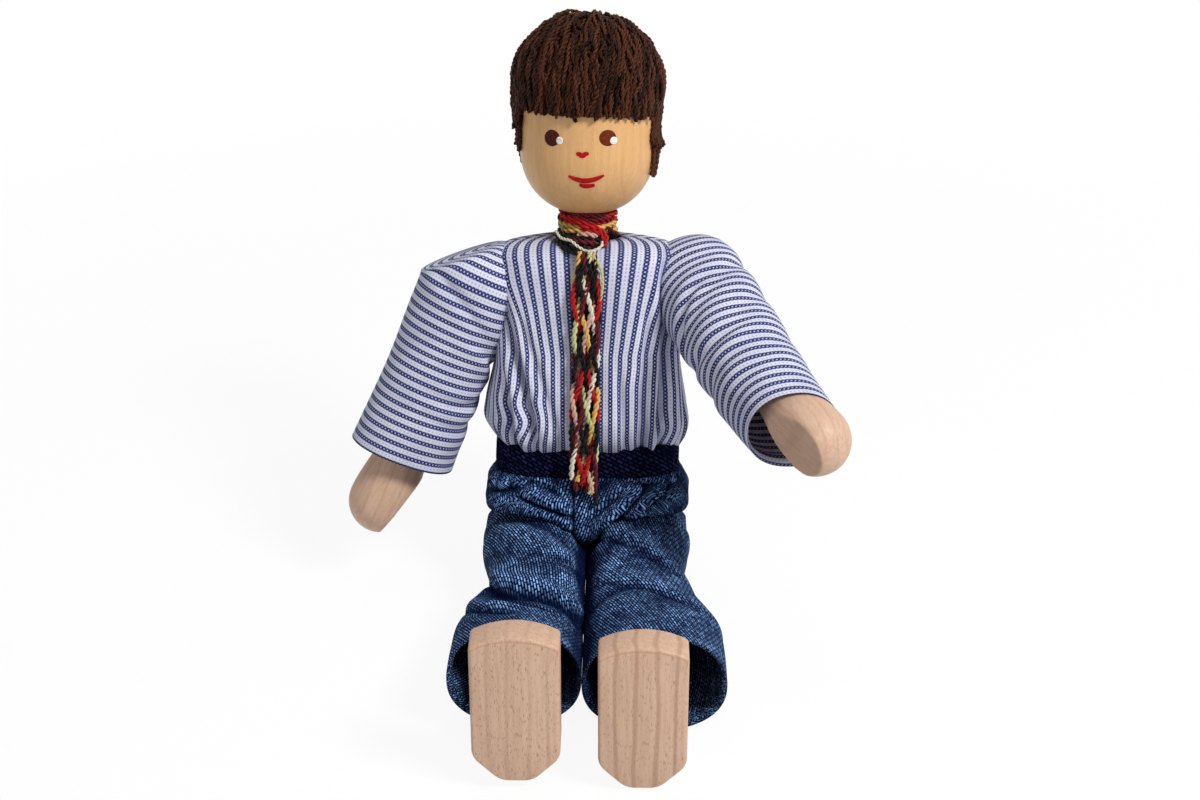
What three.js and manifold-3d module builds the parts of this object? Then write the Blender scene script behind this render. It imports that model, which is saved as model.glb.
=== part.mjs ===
// A dressed wooden miniature doll, sitting with its legs straight out and leaning back a little.
// Millimetres, +Z up. The doll faces -Y, and left and right are the doll's own: left is +X.
// The origin lies on the floor below the hip axle, on the flat underside of the trousers.
import * as THREE from 'three';
import { mergeVertices } from 'three/addons/utils/BufferGeometryUtils.js';
import Module from 'manifold-3d';

const wasm = await Module();
wasm.setup();

// Pose, in degrees.
const TORSO_LEAN = 11;
const LEG_LIFT_LEFT = 0;
const LEG_LIFT_RIGHT = 1.2;
const ARM_SWING_LEFT = 64;
const ARM_SWING_RIGHT = 3;

// Clearance between pieces that are glued, worn or pinned together.
const CLEARANCE = 0.3;

// Torso block and its tongue, with heights above the hip axle.
const TORSO_WIDTH = 25;
const TORSO_DEPTH = 12;
const TORSO_BOTTOM = 8.4;
const TORSO_TOP = 48.5;
const TORSO_EDGE = 2.6;
const TORSO_TOP_WIDTH = 14;
const SHOULDER_DROP = 2;
const TONGUE_DEPTH = 9;

// Head, neck and hair.
const HEAD_DIAMETER = 21.2;
const HEAD_STRAIGHT = 9.3;
const HEAD_ROUNDNESS = 2.15;
const NECK_DIAMETER = 6;
const NECK_SHOWN = 5.5;
const NECK_IN_HEAD = 7;
const NECK_IN_TORSO = 9;
const HAIR_THICKNESS = 1.2;
const FRINGE_ABOVE_CHIN = 16.4;
const SIDE_LOCK_ABOVE_CHIN = 10.2;
const BACK_HAIR_ABOVE_CHIN = 6.6;
const FRINGE_HALF_ANGLE = 58;
const BACK_HALF_ANGLE = 72;

// Hip axle, legs and feet.
const AXLE_DIAMETER = 4;
const LEG_WIDTH = 7;
const LEG_INSET = 0.2;
const LEG_DEPTH = 8;
const HIP_TO_SOLE = 57.5;
const FOOT_WIDTH = 12.4;
const FOOT_LENGTH = 23.6;
const FOOT_THICKNESS = 5.1;
const FOOT_EDGE = 0.35;
const TOE_BULGE = 1.7;
const HEEL_CHAMFER = 3.9;
const HEEL_LIFT = 0.4;
const ANKLE_DOWEL_DIAMETER = 4;
const ANKLE_IN_LEG = 6.5;
const ANKLE_IN_FOOT = 3;

// Arms, turned in one piece with the hand, on pegs that turn in the torso.
const SHOULDER_BELOW_TOP = 6;
const ARM_GAP = 0.4;
const ARM_TOP_DIAMETER = 8.4;
const ARM_DIAMETER = 7.8;
const ARM_SPLAY = 24.8;
const ARM_LENGTH = 44.8;
const HAND_DIAMETER = 10.6;
const HAND_TAPER = 12;
const PALM_FROM_TIP = 10.8;
const PALM_OFFSET = 4.4;
const PALM_SLOPE = 14;
const PEG_DIAMETER = 4;
const PEG_IN_TORSO = 7;
const PEG_IN_ARM = 6.8;

// Clothes.
const CLOTH = 0.9;
const SHIRT_EASE_SIDE = 2;
const SHIRT_EASE_FRONT = 3.1;
const SHIRT_PUFF = 1.1;
const FRONT_PUFF = 0.6;
const PUFF_ABOVE_WAIST = 2.3;
const PUFF_END_ABOVE_WAIST = 13.1;
const CHEST_ABOVE_WAIST = 19.6;
const PLEATS_END_ABOVE_WAIST = 18;
const SHOULDER_ROUNDING = 1.6;
const CHEST_ROUNDING = 0.8;
const SHIRT_PLEATS = 10;
const PLEAT_DEPTH = 0.22;
const SHIRT_NECK_EASE = 2.3;
const COLLAR_RISE = 1.9;
const ARMHOLE_EASE = 2.2;
const SLEEVE_LENGTH = 31;
const SLEEVE_SLIM_AT = 14;
const SLEEVE_CAP_EASE = 3.9;
const SLEEVE_EASE = 3.6;
const CUFF_EASE = 4.8;
const SLEEVE_CREASE = 0.3;
const WAISTBAND_WIDTH = 4.8;
const WAISTBAND_THICKNESS = 1.2;
const WAISTBAND_ABOVE_TORSO_BOTTOM = 4.2;
const WAIST_EASE_SIDE = 1.2;
const WAIST_EASE_FRONT = 0.8;
const SEAT_EASE_SIDE = 3.8;
const SEAT_EASE_FRONT = 3;
const SEAT_TUCK = 0.4;
const SEAT_BACK_EDGE = 2.6;
const KNUCKLE_EASE = 2.8;
const GUSSET_THICKNESS = 3.2;
const FLOOR_GAP = 0.2;
const INSEAM_GAP = 0.5;
const TROUSER_LENGTH = 43.5;
const THIGH_EASE = 4.5;
const THIGH_LENGTH = 5.6;
const CREASE_AT = 14;
const CREASE_EASE = 2.9;
const FLARE_AT = 28;
const FLARE_EASE = 7.6;
const HEM_FLARE = 0.6;
const HEM_FRONT_EASE = 2.6;
const TROUSER_FOLD = 0.35;

// Braided tie.
const TIE_THICKNESS = 1.3;
const TIE_WIDTH = 5.8;
const TIE_LOOP_HEIGHT = 2.9;
const TIE_KNOT_WIDTH = 5.4;
const TIE_KNOT_HEIGHT = 3.6;
const TIE_KNOT_DEPTH = 2.2;
const TIE_TAIL_LENGTH = 40.1;
const TIE_END_SLANT = 3.6;

const ROUND_SIDES = 20;
const BORE_SIDES = 16;

// Places that follow from the sizes.
const knuckleRadius = LEG_DEPTH / 2 + KNUCKLE_EASE;
const hipHeight = knuckleRadius + FLOOR_GAP;
const legOutside = TORSO_WIDTH / 2 - LEG_INSET;
const legInside = legOutside - LEG_WIDTH;
const legCentre = (legInside + legOutside) / 2;
const tongueHalf = legInside - CLEARANCE;
const shoulderX = TORSO_WIDTH / 2 + ARM_GAP + ARM_TOP_DIAMETER / 2;
const shoulderZ = TORSO_TOP - SHOULDER_BELOW_TOP;
const headRadius = HEAD_DIAMETER / 2;
const chinZ = TORSO_TOP + NECK_SHOWN;
const headLowCentre = chinZ + headRadius;
const headHighCentre = headLowCentre + HEAD_STRAIGHT;
const waistLow = TORSO_BOTTOM + WAISTBAND_ABOVE_TORSO_BOTTOM;
const waistHigh = waistLow + WAISTBAND_WIDTH;
const waistHalfWidth = TORSO_WIDTH / 2 + WAIST_EASE_SIDE + WAISTBAND_THICKNESS;
const waistHalfDepth = TORSO_DEPTH / 2 + WAIST_EASE_FRONT + WAISTBAND_THICKNESS;
const shirtLow = waistHigh + CLEARANCE;
const shirtHigh = TORSO_TOP + COLLAR_RISE;
const tieLoopInside = NECK_DIAMETER / 2 + CLEARANCE;
const tieLoopOutside = tieLoopInside + TIE_THICKNESS;
const tieLoopHigh = chinZ - CLEARANCE;
const tieLoopLow = tieLoopHigh - TIE_LOOP_HEIGHT;
const gussetRadius = TONGUE_DEPTH / 2 + CLEARANCE + GUSSET_THICKNESS;

const radians = THREE.MathUtils.degToRad;

const wood = (color) => new THREE.MeshStandardMaterial({ color, roughness: 0.55, metalness: 0 });
const cloth = (color) => new THREE.MeshStandardMaterial({ color, roughness: 0.9, metalness: 0 });
const maple = wood(0xdcbb88);
const beech = wood(0xd6b394);
const yarn = cloth(0x3a2317);
const shirting = cloth(0xb9c1e2);
const denim = cloth(0x3d5a83);
const webbing = cloth(0x1b2338);
const braid = cloth(0x8f2b26);

// Turns a closed geometry into a solid that can be added, subtracted or intersected.
function solid(geometry) {
  const bare = geometry.clone();
  bare.deleteAttribute('normal');
  bare.deleteAttribute('uv');
  const welded = mergeVertices(bare);
  const vertProperties = new Float32Array(welded.attributes.position.array);
  const triVerts = new Uint32Array(welded.index.array);
  return new wasm.Manifold(new wasm.Mesh({ numProp: 3, vertProperties, triVerts }));
}

function geometryOf(body) {
  const mesh = body.getMesh();
  const geometry = new THREE.BufferGeometry();
  geometry.setAttribute('position', new THREE.BufferAttribute(new Float32Array(mesh.vertProperties), 3));
  geometry.setIndex(new THREE.BufferAttribute(new Uint32Array(mesh.triVerts), 1));
  geometry.computeVertexNormals();
  return geometry;
}

// A round bar along one axis, between two places on it.
function rod(axis, diameter, from, to, sides = BORE_SIDES) {
  const geometry = new THREE.CylinderGeometry(diameter / 2, diameter / 2, Math.abs(to - from), sides);
  if (axis === 'x') geometry.rotateZ(-Math.PI / 2);
  if (axis === 'z') geometry.rotateX(Math.PI / 2);
  const middle = (from + to) / 2;
  geometry.translate(axis === 'x' ? middle : 0, axis === 'y' ? middle : 0, axis === 'z' ? middle : 0);
  return geometry;
}

function box(x0, x1, y0, y1, z0, z1) {
  const geometry = new THREE.BoxGeometry(x1 - x0, y1 - y0, z1 - z0);
  return geometry.translate((x0 + x1) / 2, (y0 + y1) / 2, (z0 + z1) / 2);
}

// Revolves a profile of [radius, height] points about Z.
function turned(profile, sides = ROUND_SIDES) {
  const points = profile.map(([radius, height]) => new THREE.Vector2(radius, height));
  return new THREE.LatheGeometry(points, sides).rotateX(Math.PI / 2);
}

// A closed tube through rings of equal length, listed from the lowest to the highest.
function tube(rings) {
  const count = rings[0].length;
  const points = [];
  const index = [];
  for (const ring of rings) {
    for (const point of ring) points.push(point.x, point.y, point.z);
  }
  for (let row = 0; row < rings.length - 1; row += 1) {
    for (let i = 0; i < count; i += 1) {
      const a = row * count + i;
      const b = row * count + ((i + 1) % count);
      index.push(a, b, b + count, a, b + count, a + count);
    }
  }
  const last = (rings.length - 1) * count;
  for (const start of [0, last]) {
    const centre = new THREE.Vector3();
    for (const point of rings[start / count]) centre.addScaledVector(point, 1 / count);
    const middle = points.length / 3;
    points.push(centre.x, centre.y, centre.z);
    for (let i = 0; i < count; i += 1) {
      const a = start + i;
      const b = start + ((i + 1) % count);
      if (start === last) index.push(a, b, middle);
      else index.push(b, a, middle);
    }
  }
  const geometry = new THREE.BufferGeometry();
  geometry.setAttribute('position', new THREE.Float32BufferAttribute(points, 3));
  geometry.setIndex(index);
  return geometry;
}

// A rounded-square outline at one height, swollen outward by fold(angle).
function ring({ x = 0, y = 0, z, halfX, halfY, power = 2.6, count = 32, fold = () => 0 }) {
  const points = [];
  for (let i = 0; i < count; i += 1) {
    const angle = (2 * Math.PI * i) / count;
    const c = Math.cos(angle);
    const s = Math.sin(angle);
    const px = Math.sign(c) * Math.abs(c) ** (2 / power);
    const py = Math.sign(s) * Math.abs(s) ** (2 / power);
    const out = fold(angle);
    points.push(new THREE.Vector3(x + halfX * px + out * c, y + halfY * py + out * s, z));
  }
  return points;
}

// Reads a value off a list of [place, value] stations, smoothly.
function along(stations, place) {
  const first = stations[0];
  const last = stations[stations.length - 1];
  if (place <= first[0]) return first[1];
  if (place >= last[0]) return last[1];
  const i = stations.findIndex(([at]) => at > place);
  const [p0, v0] = stations[i - 1];
  const [p1, v1] = stations[i];
  return v0 + (v1 - v0) * THREE.MathUtils.smoothstep(place, p0, p1);
}

// Even steps from one place to another, both included.
function steps(from, to, count) {
  return Array.from({ length: count + 1 }, (_, i) => from + ((to - from) * i) / count);
}

const doll = new THREE.Group();
doll.name = 'doll';
const upper = new THREE.Group();
upper.position.z = hipHeight;
upper.rotation.x = -radians(TORSO_LEAN);
doll.add(upper);

function add(parent, name, geometry, material) {
  const mesh = new THREE.Mesh(geometry, material);
  mesh.name = name;
  parent.add(mesh);
}

// Torso block with its tongue, bored for the axle, the shoulder pegs and the neck.
const halfTorso = TORSO_WIDTH / 2;
const front = new THREE.Shape();
front.moveTo(-halfTorso, TORSO_BOTTOM);
front.lineTo(halfTorso, TORSO_BOTTOM);
front.lineTo(halfTorso, TORSO_TOP - SHOULDER_DROP);
front.lineTo(TORSO_TOP_WIDTH / 2, TORSO_TOP);
front.lineTo(-TORSO_TOP_WIDTH / 2, TORSO_TOP);
front.lineTo(-halfTorso, TORSO_TOP - SHOULDER_DROP);
const torsoBlock = new THREE.ExtrudeGeometry(front, {
  depth: TORSO_DEPTH - 2 * TORSO_EDGE,
  bevelThickness: TORSO_EDGE,
  bevelSize: TORSO_EDGE,
  bevelOffset: -TORSO_EDGE,
  bevelSegments: 2,
});
torsoBlock.translate(0, 0, TORSO_EDGE - TORSO_DEPTH / 2).rotateX(Math.PI / 2);
const tongueRound = rod('x', TONGUE_DEPTH, -tongueHalf, tongueHalf, ROUND_SIDES);
const tongueRoot = TORSO_BOTTOM + TORSO_EDGE;
const tongue = box(-tongueHalf, tongueHalf, -TONGUE_DEPTH / 2, TONGUE_DEPTH / 2, 0, tongueRoot);
const axleBore = AXLE_DIAMETER + 2 * CLEARANCE;
const pegBore = PEG_DIAMETER + 2 * CLEARANCE;
const pegEnd = halfTorso - PEG_IN_TORSO;
let torso = solid(torsoBlock).add(solid(tongue)).add(solid(tongueRound));
torso = torso.subtract(solid(rod('x', axleBore, -legInside, legInside)));
for (const side of [-1, 1]) {
  const bore = rod('x', pegBore, pegEnd - CLEARANCE, TORSO_WIDTH);
  if (side < 0) bore.rotateZ(Math.PI);
  torso = torso.subtract(solid(bore.translate(0, 0, shoulderZ)));
}
const neckBore = NECK_DIAMETER + 2 * CLEARANCE;
torso = torso.subtract(solid(rod('z', neckBore, TORSO_TOP - NECK_IN_TORSO, TORSO_TOP + NECK_IN_TORSO)));
add(upper, 'torso_block', geometryOf(torso), beech);

const neckLow = TORSO_TOP - NECK_IN_TORSO + CLEARANCE;
add(upper, 'neck_dowel', rod('z', NECK_DIAMETER, neckLow, chinZ + NECK_IN_HEAD - CLEARANCE), beech);
add(upper, 'hip_axle', rod('x', AXLE_DIAMETER, -legOutside, legOutside), beech);

// Head, a turned capsule bored from below, and the same shape grown for the hair.
function capsule(grow) {
  const radius = headRadius + grow;
  const quarter = 7;
  const profile = [];
  for (const end of [-1, 1]) {
    for (const i of steps(0, quarter, quarter)) {
      const angle = (Math.PI / 2) * (end < 0 ? i / quarter : 1 - i / quarter);
      const out = radius * Math.abs(Math.sin(angle)) ** (2 / HEAD_ROUNDNESS);
      const off = radius * Math.abs(Math.cos(angle)) ** (2 / HEAD_ROUNDNESS);
      const axial = end < 0 ? headLowCentre - off : headHighCentre + off;
      profile.push([out < 1e-6 ? 0 : out, axial]);
    }
  }
  return turned(profile, 24);
}
const headBore = rod('z', neckBore, chinZ - NECK_IN_HEAD, chinZ + NECK_IN_HEAD);
add(upper, 'head', geometryOf(solid(capsule(0)).subtract(solid(headBore))), maple);

// Hair: a shell over the head in four laid sections, each cut straight at its own height.
const hairGap = CLEARANCE + HAIR_THICKNESS;
const hairShell = solid(capsule(hairGap)).subtract(solid(capsule(CLEARANCE)));
const hairTop = headHighCentre + headRadius + 2 * hairGap;
function hairSection(middle, halfAngle, low) {
  const reach = HEAD_DIAMETER;
  const apex = CLEARANCE / 2 / Math.sin(radians(halfAngle));
  const fan = new THREE.Shape();
  fan.moveTo(apex, 0);
  for (const part of steps(-1, 1, 6)) {
    const angle = radians(halfAngle) * part;
    fan.lineTo(apex + reach * Math.cos(angle), reach * Math.sin(angle));
  }
  const wedge = new THREE.ExtrudeGeometry(fan, { depth: hairTop - low, bevelEnabled: false });
  wedge.rotateZ(radians(middle)).translate(0, 0, low);
  return geometryOf(hairShell.intersect(solid(wedge)));
}
const sideHalfAngle = (180 - FRINGE_HALF_ANGLE - BACK_HALF_ANGLE) / 2;
const sideMiddle = FRINGE_HALF_ANGLE + sideHalfAngle - 90;
add(upper, 'hair_fringe', hairSection(-90, FRINGE_HALF_ANGLE, chinZ + FRINGE_ABOVE_CHIN), yarn);
add(upper, 'hair_back', hairSection(90, BACK_HALF_ANGLE, chinZ + BACK_HAIR_ABOVE_CHIN), yarn);
const lockLow = chinZ + SIDE_LOCK_ABOVE_CHIN;
add(upper, 'hair_side_left', hairSection(sideMiddle, sideHalfAngle, lockLow), yarn);
add(upper, 'hair_side_right', hairSection(180 - sideMiddle, sideHalfAngle, lockLow), yarn);

// Shirt body: half widths and depths at heights from the waist to the neck.
const shirtSide = halfTorso + SHIRT_EASE_SIDE;
const shirtFront = TORSO_DEPTH / 2 + SHIRT_EASE_FRONT;
const shirtNeck = NECK_DIAMETER / 2 + SHIRT_NECK_EASE;
const puffZ = shirtLow + PUFF_ABOVE_WAIST;
const puffEnd = shirtLow + PUFF_END_ABOVE_WAIST;
const shoulderSlope = TORSO_TOP - SHOULDER_DROP;
const shirtWidths = [
  [shirtLow, waistHalfWidth - CLEARANCE],
  [puffZ, shirtSide + SHIRT_PUFF],
  [puffEnd, shirtSide],
  [shoulderSlope, shirtSide],
  [TORSO_TOP, shirtSide - SHOULDER_ROUNDING],
  [shirtHigh, shirtNeck],
];
const shirtDepths = [
  [shirtLow, waistHalfDepth],
  [puffZ, shirtFront + FRONT_PUFF],
  [shirtLow + CHEST_ABOVE_WAIST, shirtFront],
  [shoulderSlope, shirtFront - CHEST_ROUNDING],
  [TORSO_TOP, shirtFront - SHOULDER_ROUNDING],
  [shirtHigh, shirtNeck],
];
function shirtRing(height, grow) {
  const fade = 1 - THREE.MathUtils.smoothstep(height, shirtLow, shirtLow + PLEATS_END_ABOVE_WAIST);
  return ring({
    z: height,
    halfX: along(shirtWidths, height) + grow,
    halfY: along(shirtDepths, height) + grow,
    power: 3 - 0.8 * THREE.MathUtils.smoothstep(height, TORSO_TOP, shirtHigh),
    count: 40,
    fold: (angle) => fade * PLEAT_DEPTH * Math.cos(SHIRT_PLEATS * angle),
  });
}
const shirtHeights = [
  ...steps(shirtLow, shirtLow + 2 * PUFF_ABOVE_WAIST, 2),
  ...steps(puffEnd, shoulderSlope, 3),
  ...steps(TORSO_TOP - 2 * CLEARANCE, shirtHigh, 3),
];
const grown = (heights, grow, stretch) => heights.map((height, i) => {
  const place = shirtRing(height, grow);
  if (i === 0) for (const point of place) point.z -= stretch;
  if (i === heights.length - 1) for (const point of place) point.z += stretch;
  return place;
});
const shirtOutside = solid(tube(grown(shirtHeights, 0, 0)));
const shirtInside = solid(tube(grown(shirtHeights, -CLOTH, CLOTH)));
const shirtKeepOut = solid(tube(grown(shirtHeights, CLEARANCE, CLEARANCE)));
let shirt = shirtOutside.subtract(shirtInside);
const armhole = ARM_TOP_DIAMETER + 2 * ARMHOLE_EASE;
for (const side of [-1, 1]) {
  const cut = rod('x', armhole, halfTorso - CLOTH, TORSO_WIDTH, ROUND_SIDES);
  if (side < 0) cut.rotateZ(Math.PI);
  shirt = shirt.subtract(solid(cut.translate(0, 0, shoulderZ)));
}
add(upper, 'shirt_body', geometryOf(shirt), shirting);

// Waistband, an oval ring on the torso, just under the shirt.
const band = (grow, stretch) => solid(tube([waistLow - stretch, waistHigh + stretch].map((z) => ring({
  z,
  halfX: waistHalfWidth + grow,
  halfY: waistHalfDepth + grow,
  power: 4,
  count: 40,
}))));
const bandInside = band(-WAISTBAND_THICKNESS, WAISTBAND_THICKNESS);
add(upper, 'waistband', geometryOf(band(0, 0).subtract(bandInside)), webbing);

// Trouser seat: a ring of cloth below the waistband, hollowed over the trouser legs, with a gusset
// strap that runs under the tongue and is flat where the doll sits.
const seatHigh = waistLow - CLEARANCE;
const seatRing = (z, grow) => ring({
  z,
  halfX: along([
    [SEAT_BACK_EDGE, halfTorso + SEAT_EASE_SIDE],
    [TORSO_BOTTOM, halfTorso + SEAT_EASE_SIDE],
    [seatHigh, waistHalfWidth],
  ], z) + grow,
  halfY: along([
    [SEAT_BACK_EDGE, TORSO_DEPTH / 2 + SEAT_EASE_FRONT - SEAT_TUCK],
    [TORSO_BOTTOM, TORSO_DEPTH / 2 + SEAT_EASE_FRONT],
    [seatHigh, waistHalfDepth],
  ], z) + grow,
  power: 3,
  count: 40,
});
const seatHeights = steps(SEAT_BACK_EDGE, seatHigh, 5);
const seatCore = box(
  -halfTorso - CLEARANCE, halfTorso + CLEARANCE,
  -TORSO_DEPTH / 2 - CLEARANCE, TORSO_DEPTH / 2 + CLEARANCE,
  -hipHeight, 2 * seatHigh,
);
const strapHalf = tongueHalf - CLEARANCE;
const legSweep = 2 * (knuckleRadius + CLEARANCE);
const wide = TORSO_WIDTH;
const frontEdge = knuckleRadius + 2.5 * CLEARANCE;
let seat = solid(tube(seatHeights.map((z) => seatRing(z, 0)))).subtract(solid(seatCore));
seat = seat.subtract(solid(rod('x', legSweep, -wide, wide, 48)));
seat = seat.subtract(solid(box(-wide, wide, -wide, 0, -wide, frontEdge)));
let strap = solid(rod('x', 2 * gussetRadius, -strapHalf, strapHalf, 48));
const strapBack = TORSO_DEPTH / 2 + SEAT_EASE_FRONT - CLEARANCE;
strap = strap.add(solid(box(-strapHalf, strapHalf, 0, strapBack, SEAT_BACK_EDGE, TORSO_BOTTOM)));
const tongueRoom = TONGUE_DEPTH / 2 + CLEARANCE;
strap = strap.subtract(solid(rod('x', 2 * tongueRoom, -wide, wide, ROUND_SIDES)));
strap = strap.subtract(solid(box(-wide, wide, -tongueRoom, tongueRoom, 0, wide)));
strap = strap.subtract(solid(box(-wide, wide, -wide, 0, TONGUE_DEPTH / 4, wide)));
strap = strap.subtract(solid(seatCore.clone().translate(0, 0, TORSO_BOTTOM + hipHeight - CLEARANCE)));
const ground = box(-wide, wide, -wide, wide, -wide, 0).translate(0, 0, -hipHeight);
strap = strap.subtract(solid(ground.rotateX(radians(TORSO_LEAN))));
add(upper, 'trouser_seat', geometryOf(seat.add(strap)), denim);

// Tie: a ring round the neck, a knot before it and a flat tail down the front of the shirt.
const tieEdge = TIE_THICKNESS / 4;
add(upper, 'tie_neck_loop', turned([
  [tieLoopInside, tieLoopLow],
  [tieLoopOutside - tieEdge, tieLoopLow],
  [tieLoopOutside, tieLoopLow + tieEdge],
  [tieLoopOutside, tieLoopHigh - tieEdge],
  [tieLoopOutside - tieEdge, tieLoopHigh],
  [tieLoopInside, tieLoopHigh],
  [tieLoopInside, tieLoopLow],
]), braid);
const knot = new THREE.SphereGeometry(0.5, 14, 10).scale(TIE_KNOT_WIDTH, TIE_KNOT_DEPTH, TIE_KNOT_HEIGHT);
const knotY = -(Math.max(tieLoopOutside, shirtNeck) + CLEARANCE + TIE_KNOT_DEPTH / 2);
const knotZ = tieLoopHigh - TIE_KNOT_HEIGHT / 2;
add(upper, 'tie_knot', knot.translate(0, knotY, knotZ), braid);
const tailHigh = knotZ - TIE_KNOT_HEIGHT / 2 - CLEARANCE;
const frontOf = (z) => {
  const near = steps(z - TIE_WIDTH / 2, z + TIE_WIDTH / 2, 8);
  const depths = near.map((height) => along(shirtDepths, THREE.MathUtils.clamp(height, puffZ, shirtHigh)));
  return Math.max(...depths) + PLEAT_DEPTH;
};
const tail = steps(tailHigh - TIE_TAIL_LENGTH, tailHigh, 12).map((z, row) => {
  const y = -(frontOf(z) + CLEARANCE + TIE_THICKNESS / 2);
  const slant = row === 0 ? TIE_END_SLANT / TIE_WIDTH : 0;
  const section = ring({ y, z, halfX: TIE_WIDTH / 2, halfY: TIE_THICKNESS / 2, power: 4, count: 12 });
  for (const point of section) point.z -= slant * (point.x - TIE_WIDTH / 2);
  return section;
});
add(upper, 'tie_tail', tube(tail), braid);

// Arm and hand along -Z from the shoulder, then splayed, flattened beside the torso and bored.
const handRadius = HAND_DIAMETER / 2;
const handCentre = ARM_LENGTH - handRadius;
function armSolid(side) {
  const profile = [];
  for (const part of steps(0, 1, 6)) {
    const angle = (Math.PI / 2) * part;
    profile.push([handRadius * Math.sin(angle), -handCentre - handRadius * Math.cos(angle)]);
  }
  profile[0][0] = 0;
  const slim = ARM_DIAMETER / 2;
  for (const part of steps(0.25, 1, 3)) {
    const radius = handRadius + (slim - handRadius) * THREE.MathUtils.smoothstep(part, 0, 1);
    profile.push([radius, -handCentre + HAND_TAPER * part]);
  }
  const top = ARM_TOP_DIAMETER / 2;
  profile.push([slim, -ARM_TOP_DIAMETER]);
  for (const part of steps(0, 1, 5)) {
    const angle = (Math.PI / 2) * part;
    profile.push([top * Math.cos(angle), top * Math.sin(angle)]);
  }
  profile[profile.length - 1][0] = 0;
  const reach = 2 * HAND_DIAMETER;
  const palm = box(-reach, 0, -reach, reach, -reach, reach);
  palm.rotateY(-radians(PALM_SLOPE)).translate(-PALM_OFFSET, 0, PALM_FROM_TIP - ARM_LENGTH);
  let body = turned(profile);
  if (side < 0) palm.rotateZ(Math.PI);
  body = geometryOf(solid(body).subtract(solid(palm)));
  body.rotateY(-side * radians(ARM_SPLAY));
  const flat = box(-reach, -top, -reach, reach, -reach, reach);
  if (side < 0) flat.rotateZ(Math.PI);
  const bore = rod('x', pegBore, -2 * top, PEG_IN_ARM - top + CLEARANCE);
  if (side < 0) bore.rotateZ(Math.PI);
  return solid(body).subtract(solid(flat)).subtract(solid(bore));
}

// Sleeve round the arm: a cap over the shoulder, then a tube that widens to the cuff.
function sleeveRings(grow, stretch) {
  const cap = ARM_TOP_DIAMETER / 2 + SLEEVE_CAP_EASE;
  const widths = [
    [0, cap],
    [SLEEVE_SLIM_AT, ARM_DIAMETER / 2 + SLEEVE_EASE],
    [SLEEVE_LENGTH, ARM_DIAMETER / 2 + CUFF_EASE],
  ];
  const rings = [];
  for (const place of steps(SLEEVE_LENGTH + stretch, 0, 6)) {
    const half = along(widths, place) + grow;
    const crease = SLEEVE_CREASE * Math.sin((3 * Math.PI * place) / SLEEVE_LENGTH);
    const fold = (angle) => crease * Math.cos(2 * angle);
    rings.push(ring({ z: -place, halfX: half, halfY: half, power: 2.2, count: 20, fold }));
  }
  for (const part of steps(0.25, 0.95, 3)) {
    const angle = (Math.PI / 2) * part;
    const half = (cap + grow) * Math.cos(angle);
    rings.push(ring({ z: (cap + grow) * Math.sin(angle), halfX: half, halfY: half, power: 2.2, count: 20 }));
  }
  return rings;
}

for (const side of [-1, 1]) {
  const name = side > 0 ? 'left' : 'right';
  const swing = side > 0 ? ARM_SWING_LEFT : ARM_SWING_RIGHT;
  const arm = new THREE.Group();
  arm.position.set(side * shoulderX, 0, shoulderZ);
  arm.rotation.x = -radians(swing);
  upper.add(arm);
  add(arm, `arm_${name}`, geometryOf(armSolid(side)), beech);
  const peg = rod('x', PEG_DIAMETER, pegEnd - shoulderX, PEG_IN_ARM - ARM_TOP_DIAMETER / 2);
  if (side < 0) peg.rotateZ(Math.PI);
  add(arm, `shoulder_peg_${name}`, peg, beech);

  arm.updateMatrix();
  const place = (geometry) => geometry.rotateY(-side * radians(ARM_SPLAY)).applyMatrix4(arm.matrix);
  let sleeve = solid(place(tube(sleeveRings(0, 0))));
  sleeve = sleeve.subtract(solid(place(tube(sleeveRings(-CLOTH, CLOTH)))));
  add(upper, `sleeve_${name}`, geometryOf(sleeve.subtract(shirtKeepOut)), shirting);
}

// Leg, foot and trouser leg, modelled standing with the hip axle at the origin and then turned up.
const heelBack = hipHeight - HEEL_LIFT;
const toeFront = heelBack - FOOT_LENGTH;
const footTop = FOOT_THICKNESS - HIP_TO_SOLE;
const legLow = footTop + CLEARANCE;
const ankleBore = ANKLE_DOWEL_DIAMETER + 2 * CLEARANCE;

function legSolid(side) {
  const half = LEG_WIDTH / 2;
  const centre = side * legCentre;
  const stick = box(centre - half, centre + half, -LEG_DEPTH / 2, LEG_DEPTH / 2, legLow, 0);
  const round = rod('x', LEG_DEPTH, centre - half, centre + half, ROUND_SIDES);
  const bore = rod('x', axleBore, -2 * legOutside, 2 * legOutside);
  const ankle = rod('z', ankleBore, legLow - ANKLE_IN_LEG, legLow + ANKLE_IN_LEG);
  let body = solid(stick).add(solid(round)).subtract(solid(bore));
  body = body.subtract(solid(ankle.translate(centre, 0, 0)));
  return geometryOf(body);
}

function footSolid(side) {
  const half = FOOT_WIDTH / 2;
  const plan = new THREE.Shape();
  plan.moveTo(-half + HEEL_CHAMFER, heelBack);
  plan.lineTo(-half, heelBack - HEEL_CHAMFER);
  for (const part of steps(-1, 1, 10)) {
    plan.lineTo(half * part, toeFront + TOE_BULGE * part * part);
  }
  plan.lineTo(half, heelBack - HEEL_CHAMFER);
  plan.lineTo(half - HEEL_CHAMFER, heelBack);
  const foot = new THREE.ExtrudeGeometry(plan, {
    depth: FOOT_THICKNESS - 2 * FOOT_EDGE,
    bevelThickness: FOOT_EDGE,
    bevelSize: FOOT_EDGE,
    bevelOffset: -FOOT_EDGE,
    bevelSegments: 1,
  });
  foot.translate(side * legCentre, 0, FOOT_EDGE - HIP_TO_SOLE);
  const hole = rod('z', ankleBore, footTop - ANKLE_IN_FOOT, footTop + ANKLE_IN_FOOT);
  return geometryOf(solid(foot).subtract(solid(hole.translate(side * legCentre, 0, 0))));
}

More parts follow.
